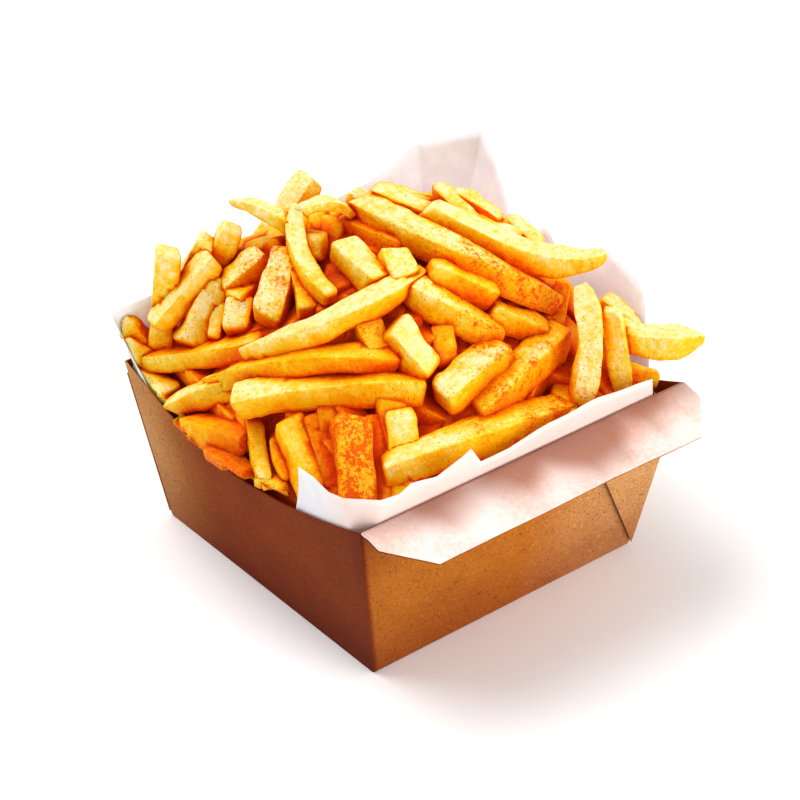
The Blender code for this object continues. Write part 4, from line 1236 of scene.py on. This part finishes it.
    def filling(self, draw: random.Random, shown: list[Bar]) -> list[Bar]:
        """Lay the fries that show where the photograph's own leave the heap bare, and those of its back."""
        dress = random.Random(self.seed + 1)
        bars = list(shown)
        for _ in range(self.filling_tries):
            x, y = draw.uniform(-self.fill_x, self.fill_x), draw.uniform(-self.fill_y, self.fill_y)
            behind = self.faces_away(x, y)
            spot = Vector((x, y, self.height(x, y)))
            if self.near_a_fry(spot, bars, self.clear_behind if behind else self.clear_in_front):
                continue
            start, middle, end = self.lying(draw, x, y, draw.uniform(-1, 3) if behind else self.sunk)
            size = draw.choice((THICK, REGULAR, SLIM))
            tone = dress.uniform(0.1, 0.55)
            spice = dress.choice((0.05, 0.1, 0.3, 0.6))
            bars.append(
                Bar(start, middle, end, size, size * self.filling_squash, (0.85, 0.8),
                    (tone, tone + dress.uniform(-0.1, 0.2)), (spice, dress.uniform(0, spice)),
                    self.swell(draw))
            )  # fmt: skip
        return bars[len(shown) :]

    def deep(self, above: list[Bar]) -> list[Bar]:
        """Lay the fries that show through the gaps between the upper ones, darker with painted shade."""
        draw = random.Random(self.deep_seed)
        bars = list(above)
        for _ in range(self.deep_tries):
            x, y = draw.uniform(-self.fill_x, self.fill_x), draw.uniform(-self.fill_y, self.fill_y)
            spot = Vector((x, y, self.height(x, y) + self.deep_sunk))
            if self.near_a_fry(spot, bars, self.deep_clear):
                continue
            start, middle, end = self.lying(draw, x, y, self.deep_sunk)
            size = draw.uniform(SLIM, THICK)
            # painted shade: the deep fries get darker tones
            tone = draw.uniform(0.5, 0.9)
            bars.append(
                Bar(start, middle, end, size, size * self.filling_squash, (0.85, 0.85),
                    (tone, tone), (0.2, 0.1), self.swell(draw))
            )  # fmt: skip
        return bars[len(above) :]

    def unit_bar(self, around: int, along: int) -> bpy.types.Mesh:
        """A bar from -1 to 1 each way, cut into short lengths and its sides into strips.

        Args:
            around: Strips on each side.
            along: Lengths from end to end.

        Returns:
            The bar's mesh.
        """
        bm = bmesh.new()
        bmesh.ops.create_cube(bm, size=2)
        lengthwise = [edge for edge in bm.edges if abs(edge.verts[0].co.x - edge.verts[1].co.x) > 1]
        bmesh.ops.subdivide_edges(bm, edges=lengthwise, cuts=along - 1, use_grid_fill=True)
        across = [edge for edge in bm.edges if abs(edge.verts[0].co.x - edge.verts[1].co.x) < 1e-4]
        bmesh.ops.subdivide_edges(bm, edges=across, cuts=around - 1, use_grid_fill=True)
        mesh = bpy.data.meshes.new("unit_bar")
        bm.to_mesh(mesh)
        bm.free()
        return mesh

    def end_width(self, share: float, blunt: tuple[float, float]) -> float:
        """The section's scale along a fry, which draws in towards a pointed end over half of its length."""
        scale = 1.0
        for way, keep in ((share, blunt[0]), (1 - share, blunt[1])):
            reach = 0.06 + 0.5 * (1 - keep)
            if way < reach:
                scale *= keep + (1 - keep) * math.sin(math.pi / 2 * way / reach)
        return scale

    def shape(self, unit: bpy.types.Mesh, bar: Bar, whim: random.Random, into: Gathering) -> None:
        """Bend a unit bar into a fry: rounded and sunken sides, slanted ends, twist and lumps.

        Args:
            unit: The bar that is bent.
            bar: How the fry lies and how it is cut.
            whim: Where its small differences come from.
            into: The gathering that takes it.
        """
        control = bar.middle * 2 - (bar.start + bar.end) / 2
        chord = bar.end - bar.start
        length = chord.length
        chord.normalize()
        back = self.view.axes()[2]
        level_back = Vector((back.x, back.y, 0)).normalized()
        reference = Vector((0, 0, 1)) if abs(chord.z) < 0.75 else level_back
        twist = math.radians(whim.uniform(-14, 14))
        slants = [(whim.uniform(-0.25, 0.25), whim.uniform(-0.25, 0.25)) for _ in range(2)]
        offset = Vector((whim.uniform(0, 90), whim.uniform(0, 90), whim.uniform(0, 90)))
        half_w, half_t = bar.width / 2, bar.thickness / 2
        bm = bmesh.new()
        bm.from_mesh(unit)
        tones, spices = [], []
        for vert in bm.verts:
            share = (vert.co.x + 1) / 2
            share = 0.55 * share + 0.45 * (0.5 - 0.5 * math.cos(math.pi * share))
            y, z = math.sin(math.pi / 2 * vert.co.y), math.sin(math.pi / 2 * vert.co.z)
            edge = max(abs(y), abs(z))
            crisp = smoothstep((abs(y * z) - 0.55) / 0.4) * self.edge_tone
            level = max(abs(y) ** self.corner_power + abs(z) ** self.corner_power, 1e-12)
            pull = 1 + (edge * level ** (-1 / self.corner_power) - 1) * edge
            y, z = y * pull, z * pull
            centre = bar.start * (1 - share) ** 2 + control * (2 * share * (1 - share)) + bar.end * share**2
            along = ((control - bar.start) * (1 - share) + (bar.end - control) * share).normalized()
            side = reference.cross(along).normalized()
            top = along.cross(side)
            angle = twist * (share - 0.5) * 2
            side, top = (
                side * math.cos(angle) + top * math.sin(angle),
                top * math.cos(angle) - side * math.sin(angle),
            )
            swell = share * (self.swells - 1)
            lower = min(int(swell), self.swells - 2)
            grown = bar.swell[lower] + (bar.swell[lower + 1] - bar.swell[lower]) * smoothstep(swell - lower)
            scale = self.end_width(share, bar.blunt) * grown
            near_end = min(share, 1 - share) * length
            drawn_in = 0.0
            if near_end < self.end_round:
                along_round = 1 - near_end / self.end_round
                drawn_in = self.end_round * (1 - math.sqrt(max(1 - along_round**2, 0.0))) * 0.8
            wide = max(half_w * scale - drawn_in, half_w * scale * 0.3)
            thick = max(half_t * scale - drawn_in, half_t * scale * 0.3)
            hollow = self.sink * (0.4 + abs(noise.noise(centre / 11 + offset)))
            if abs(vert.co.z) > 0.999:
                thick -= hollow * (1 - vert.co.y**2) * scale
            elif abs(vert.co.y) > 0.999:
                wide -= hollow * (1 - vert.co.z**2) * scale
            slant = slants[0] if share < 0.5 else slants[1]
            reach = max(1 - near_end / 7, 0.0)
            shift = (y * wide * slant[0] + z * thick * slant[1]) * reach
            spot = centre + side * (y * wide) + top * (z * thick) + along * shift
            outward = (side * y + top * z).normalized() if edge > 0.3 else along * (1 if share > 0.5 else -1)
            lump = noise.noise(spot / 6.5 + offset) * self.lumps
            lump += noise.noise(spot / 2.1 + offset) * self.blisters
            vert.co = self.held_in(spot + outward * lump)
            tones.append(bar.tone[0] + (bar.tone[1] - bar.tone[0]) * share + crisp)
            spices.append(bar.spice[0] + (bar.spice[1] - bar.spice[0]) * share)
        into.take(bm, tones, spices)

    def held_in(self, spot: Vector) -> Vector:
        """Keep a point of a fry inside the paper, or inside the card where there is no paper."""
        inset = self.liner.gap + self.liner.sheet + self.side_gap
        held = spot.copy()
        if spot.z < self.edge_height(spot) + self.rim_margin:
            limit_x = self.carton.half_x(spot.z) - self.carton.card - inset
            limit_y = self.carton.half_y(spot.z) - self.carton.card - inset
            held.x = min(max(held.x, -limit_x), limit_x)
            held.y = min(max(held.y, -limit_y), limit_y)
        return held

    def edge_height(self, spot: Vector) -> float:
        """How high the paper or the card stands on the wall that a point is nearest."""
        reach_x = abs(spot.x) / self.carton.half_x(spot.z)
        reach_y = abs(spot.y) / self.carton.half_y(spot.z)
        if reach_x > reach_y:
            wall, along = (Wall.RIGHT if spot.x > 0 else Wall.LEFT), spot.y
            card = self.carton.side_rim(min(max(spot.y, -57.0), 57.0))
        else:
            wall, along = (Wall.BACK if spot.y > 0 else Wall.FRONT), spot.x
            card = self.carton.height
        stops = sorted((stop[1], stop[2]) for stop in self.liner.EDGE if stop[0] == wall)
        paper = stops[0][1] if along <= stops[0][0] else stops[-1][1]
        for (here, low), (there, high) in zip(stops, stops[1:]):
            if here <= along <= there:
                paper = low + (high - low) * (along - here) / (there - here)
        return max(card, paper)

    def build_core(self) -> Gathering:
        """Drop a grid onto the heap, well below its surface, and close it with sloping sides."""
        inset = self.liner.gap + self.liner.sheet + 3.0
        bm = bmesh.new()
        bmesh.ops.create_grid(bm, x_segments=self.core_cuts, y_segments=self.core_cuts, size=1)
        shoulder = 50.0
        rim = [edge for edge in bm.edges if edge.is_boundary]
        for vert in bm.verts:
            x = vert.co.x * (self.carton.half_x(shoulder) - self.carton.card - inset)
            y = vert.co.y * (self.carton.half_y(shoulder) - self.carton.card - inset)
            lump = noise.noise(Vector((x, y, 0)) / 8) * 2.5
            vert.co = Vector((x, y, self.height(x, y) - self.core_drop + lump))
        skirt = bmesh.ops.extrude_edge_only(bm, edges=rim)
        for vert in (item for item in skirt["geom"] if isinstance(item, bmesh.types.BMVert)):
            vert.co.x *= (self.carton.half_x(0) - self.carton.card - inset) / self.carton.half_x(shoulder)
            vert.co.y *= (self.carton.half_y(0) - self.carton.card - inset) / self.carton.half_y(shoulder)
            vert.co.z = 2.6
        bmesh.ops.contextual_create(bm, geom=[edge for edge in bm.edges if edge.is_boundary])
        bmesh.ops.recalc_face_normals(bm, faces=bm.faces)
        made = Gathering()
        count = len(bm.verts)
        # painted shade: the core, deep under the fries, gets a dark tone
        made.take(bm, [0.95] * count, [0.1] * count)
        return made

    def build(self, potato: bpy.types.Material) -> dict[str, bpy.types.Object]:
        """Model the heap as three pieces and shade each point by how openly it lies.

        Args:
            potato: The fries' finish.

        Returns:
            The pieces by name.
        """
        draw = random.Random(self.seed)
        whim = random.Random(self.seed + 2)
        shown = self.shown(draw)
        filling = self.filling(draw, shown)
        deep = self.deep(shown + filling)
        LOG.info("%d shown fries, %d filling, %d deep", len(shown), len(filling), len(deep))
        fine = self.unit_bar(self.fine_around, self.fine_along)
        plain = self.unit_bar(self.plain_around, self.plain_along)
        groups = {"shown_fries": Gathering(), "filling_fries": Gathering()}
        for bar in shown:
            self.shape(fine, bar, whim, groups["shown_fries"])
        for bar in filling + deep:
            self.shape(plain, bar, whim, groups["filling_fries"])
        groups["heap_core"] = self.build_core()
        bpy.data.meshes.remove(fine)
        bpy.data.meshes.remove(plain)
        pieces = {}
        for name, group in groups.items():
            pieces[name] = make_piece(group.bm, name, [potato])
            pieces[name].data.shade_smooth()
        Openness().shade(pieces, groups)
        return pieces


@dataclass
class Openness:
    """How openly each point of the heap lies: painted shade makes crust in a gap deep orange, painted light
    makes crust in the light pale.
    """

    directions: int = 34
    near: float = 13.0
    far: float = 60.0
    skin: float = 0.08
    sky: tuple[float, float, float] = (-0.42, -0.12, 0.9)
    base: float = 0.2
    tone_weight: float = 0.50
    gap_weight: float = 0.95
    sky_weight: float = 0.40

    def rays(self) -> list[Vector]:
        """Unit vectors spread evenly over a sphere."""
        golden = math.pi * (3 - math.sqrt(5))
        found = []
        for number in range(self.directions):
            z = 1 - 2 * (number + 0.5) / self.directions
            level = math.sqrt(1 - z * z)
            found.append(Vector((math.cos(golden * number) * level, math.sin(golden * number) * level, z)))
        return found

    def shade(self, pieces: dict[str, bpy.types.Object], groups: dict[str, Gathering]) -> None:
        """Give each point of the pieces its shade and its spice.

        Args:
            pieces: The heap's pieces by name.
            groups: What they were gathered from, for each point's tone and spice.
        """
        points, faces = [], []
        for piece in pieces.values():
            start = len(points)
            points += [vert.co.copy() for vert in piece.data.vertices]
            faces += [[start + corner for corner in face.vertices] for face in piece.data.polygons]
        tree = BVHTree.FromPolygons(points, faces)
        rays = self.rays()
        sky = Vector(self.sky).normalized()
        for name, piece in pieces.items():
            tones, spices = groups[name].values["tone"], groups[name].values["spice"]
            shades = []
            for vert, tone in zip(piece.data.vertices, tones):
                gap, open_sky = self.look_round(tree, rays, sky, vert.co, vert.normal)
                # painted light where the crust faces the open sky, painted shade where it is hemmed in
                lit = open_sky * smoothstep(vert.normal.dot(sky) * 0.8 + 0.25)
                shade = self.base + self.tone_weight * tone + self.gap_weight * gap - self.sky_weight * lit
                shades.append(min(max(shade, 0.0), 1.0))
            for label, values in (("shade", shades), ("spice", spices)):
                layer = piece.data.attributes.new(label, "FLOAT", "POINT")
                layer.data.foreach_set("value", values)

    def look_round(
        self, tree: BVHTree, rays: list[Vector], sky: Vector, spot: Vector, normal: Vector
    ) -> tuple[float, float]:
        """Look out from a point in every direction.

        Args:
            tree: What may stand in the way.
            rays: The directions.
            sky: Where the light comes from.
            spot: The point.
            normal: The way that it faces.

        Returns:
            How closely it is hemmed in, and how open it is to the sky, each from 0 to 1.
        """
        origin = spot + normal * (self.skin * MM)
        seen, hemmed, sky_seen, sky_open = 0.0, 0.0, 0.0, 0.0
        for ray in rays:
            facing = ray.dot(normal)
            if facing < 0.12:
                continue
            up = max(ray.dot(sky), 0.0)
            hit = tree.ray_cast(origin, ray, self.far * MM)[3]
            seen += facing
            sky_seen += up * facing
            if hit is None:
                sky_open += up * facing
            elif hit < self.near * MM:
                hemmed += facing * (1 - hit / (self.near * MM))
        return hemmed / max(seen, 0.01), sky_open / max(sky_seen, 0.01)


@dataclass
class Seasoning:
    """Loose flakes of paprika on the crust, thickest where the fries are spiced."""

    seed: int = 5
    flakes: int = 2400
    smallest: float = 0.09
    largest: float = 0.22
    flatness: float = 0.45

    def build(self, fries: bpy.types.Object, paprika: bpy.types.Material) -> bpy.types.Object:
        """Scatter the flakes over the fries' points.

        Args:
            fries: The piece that they lie on, with its spice values.
            paprika: Their finish.

        Returns:
            The flakes, as one piece.
        """
        draw = random.Random(self.seed)
        mesh = fries.data
        spice = [0.0] * len(mesh.vertices)
        mesh.attributes["spice"].data.foreach_get("value", spice)
        shade = [0.0] * len(mesh.vertices)
        mesh.attributes["shade"].data.foreach_get("value", shade)
        likely = [value**1.5 * (1.1 - dark) + 0.004 for value, dark in zip(spice, shade)]
        chosen = draw.choices(range(len(likely)), weights=likely, k=self.flakes)
        gathered = bmesh.new()
        bmesh.ops.create_icosphere(gathered, subdivisions=1, radius=1)
        unit = bpy.data.meshes.new("flake")
        gathered.to_mesh(unit)
        gathered.free()
        gathered = bmesh.new()
        for number in chosen:
            vert = mesh.vertices[number]
            size = draw.uniform(self.smallest, self.largest)
            spin = Matrix.Rotation(draw.uniform(0, 6.28), 3, "Z")
            turn = vert.normal.to_track_quat("Z", "Y").to_matrix() @ spin
            start = len(gathered.verts)
            gathered.from_mesh(unit)
            gathered.verts.ensure_lookup_table()
            stretch = Vector((size * draw.uniform(0.7, 1.6), size, size * self.flatness))
            for flake_vert in gathered.verts[start:]:
                flake_vert.co = turn @ (flake_vert.co * stretch) + vert.co / MM
        bpy.data.meshes.remove(unit)
        return make_piece(gathered, "paprika_flakes", [paprika])


@dataclass
class Studio:
    """A plain pale floor and soft studio light: a broad key above and behind, and two fills in front."""

    floor_size: float = 4.0
    floor_colour: str = "FFFFFF"
    world: float = 0.5
    key: float = 17.0
    key_size: float = 1.1
    key_place: tuple[float, float, float] = (-0.35, 0.55, 1.25)
    fill: float = 17.0
    fill_size: float = 1.2
    fill_place: tuple[float, float, float] = (0.35, -1.45, 0.35)
    side: float = 9.0
    side_size: float = 0.8
    side_place: tuple[float, float, float] = (1.35, -0.75, 0.4)

    def build(self) -> None:
        """Lay the floor and hang the lights."""
        bm = bmesh.new()
        bmesh.ops.create_grid(bm, x_segments=1, y_segments=1, size=self.floor_size / 2 / MM)
        made, _, shader = new_material("pale_floor")
        shader.inputs["Base Color"].default_value = linear(self.floor_colour)
        shader.inputs["Roughness"].default_value = 0.9
        floor = make_piece(bm, "floor", [made])
        world = bpy.data.worlds.new("studio")
        world.use_nodes = True
        world.node_tree.nodes["Background"].inputs["Color"].default_value = (1, 1, 1, 1)
        world.node_tree.nodes["Background"].inputs["Strength"].default_value = self.world
        bpy.context.scene.world = world
        for name, power, size, place in (
            ("key", self.key, self.key_size, self.key_place),
            ("fill", self.fill, self.fill_size, self.fill_place),
            ("side", self.side, self.side_size, self.side_place),
        ):
            lamp = bpy.data.lights.new(name, "AREA")
            lamp.energy = power
            lamp.size = size
            light = bpy.data.objects.new(name, lamp)
            light.location = place
            aim = Vector((0, 0, 0.06)) - light.location
            light.rotation_mode = "QUATERNION"
            light.rotation_quaternion = aim.to_track_quat("-Z", "Y")
            bpy.context.scene.collection.objects.link(light)
        bpy.context.scene.view_settings.view_transform = "Standard"


def settle(piece: bpy.types.Object, body: str, slot: str, *nodes: str) -> None:
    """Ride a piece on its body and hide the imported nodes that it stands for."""
    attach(piece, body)
    if nodes:
        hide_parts(*nodes)
    LOG.info("%s rides on %s", piece.name, body)


def main() -> None:
    """Build each sub-assembly in order."""
    logging.basicConfig(level=logging.INFO, format="%(message)s")
    view = View()
    view.make_camera()
    Studio().build()
    kraft = KraftCard().make()
    carton = Carton()
    settle(carton.build(kraft), "root", "kraft_card", "carton")
    settle(FrontFlap(carton).build(GlazedCard().make(), kraft), "flap", "glazed_card", "front_flap")
    liner = PaperLiner(carton)
    settle(liner.build(GreaseproofPaper().make()), "root", "greaseproof_paper", "liner")
    heap = FryHeap(view, carton, liner).build(FriedPotato().make())
    settle(heap["shown_fries"], "root", "fried_potato", "fries")
    settle(heap["filling_fries"], "root", "fried_potato", "fries")
    settle(heap["heap_core"], "root", "fried_potato", "fries")
    flakes = Seasoning().build(heap["shown_fries"], Paprika().make())
    settle(flakes, "root", "fried_potato")


if __name__ == "__main__":
    main()
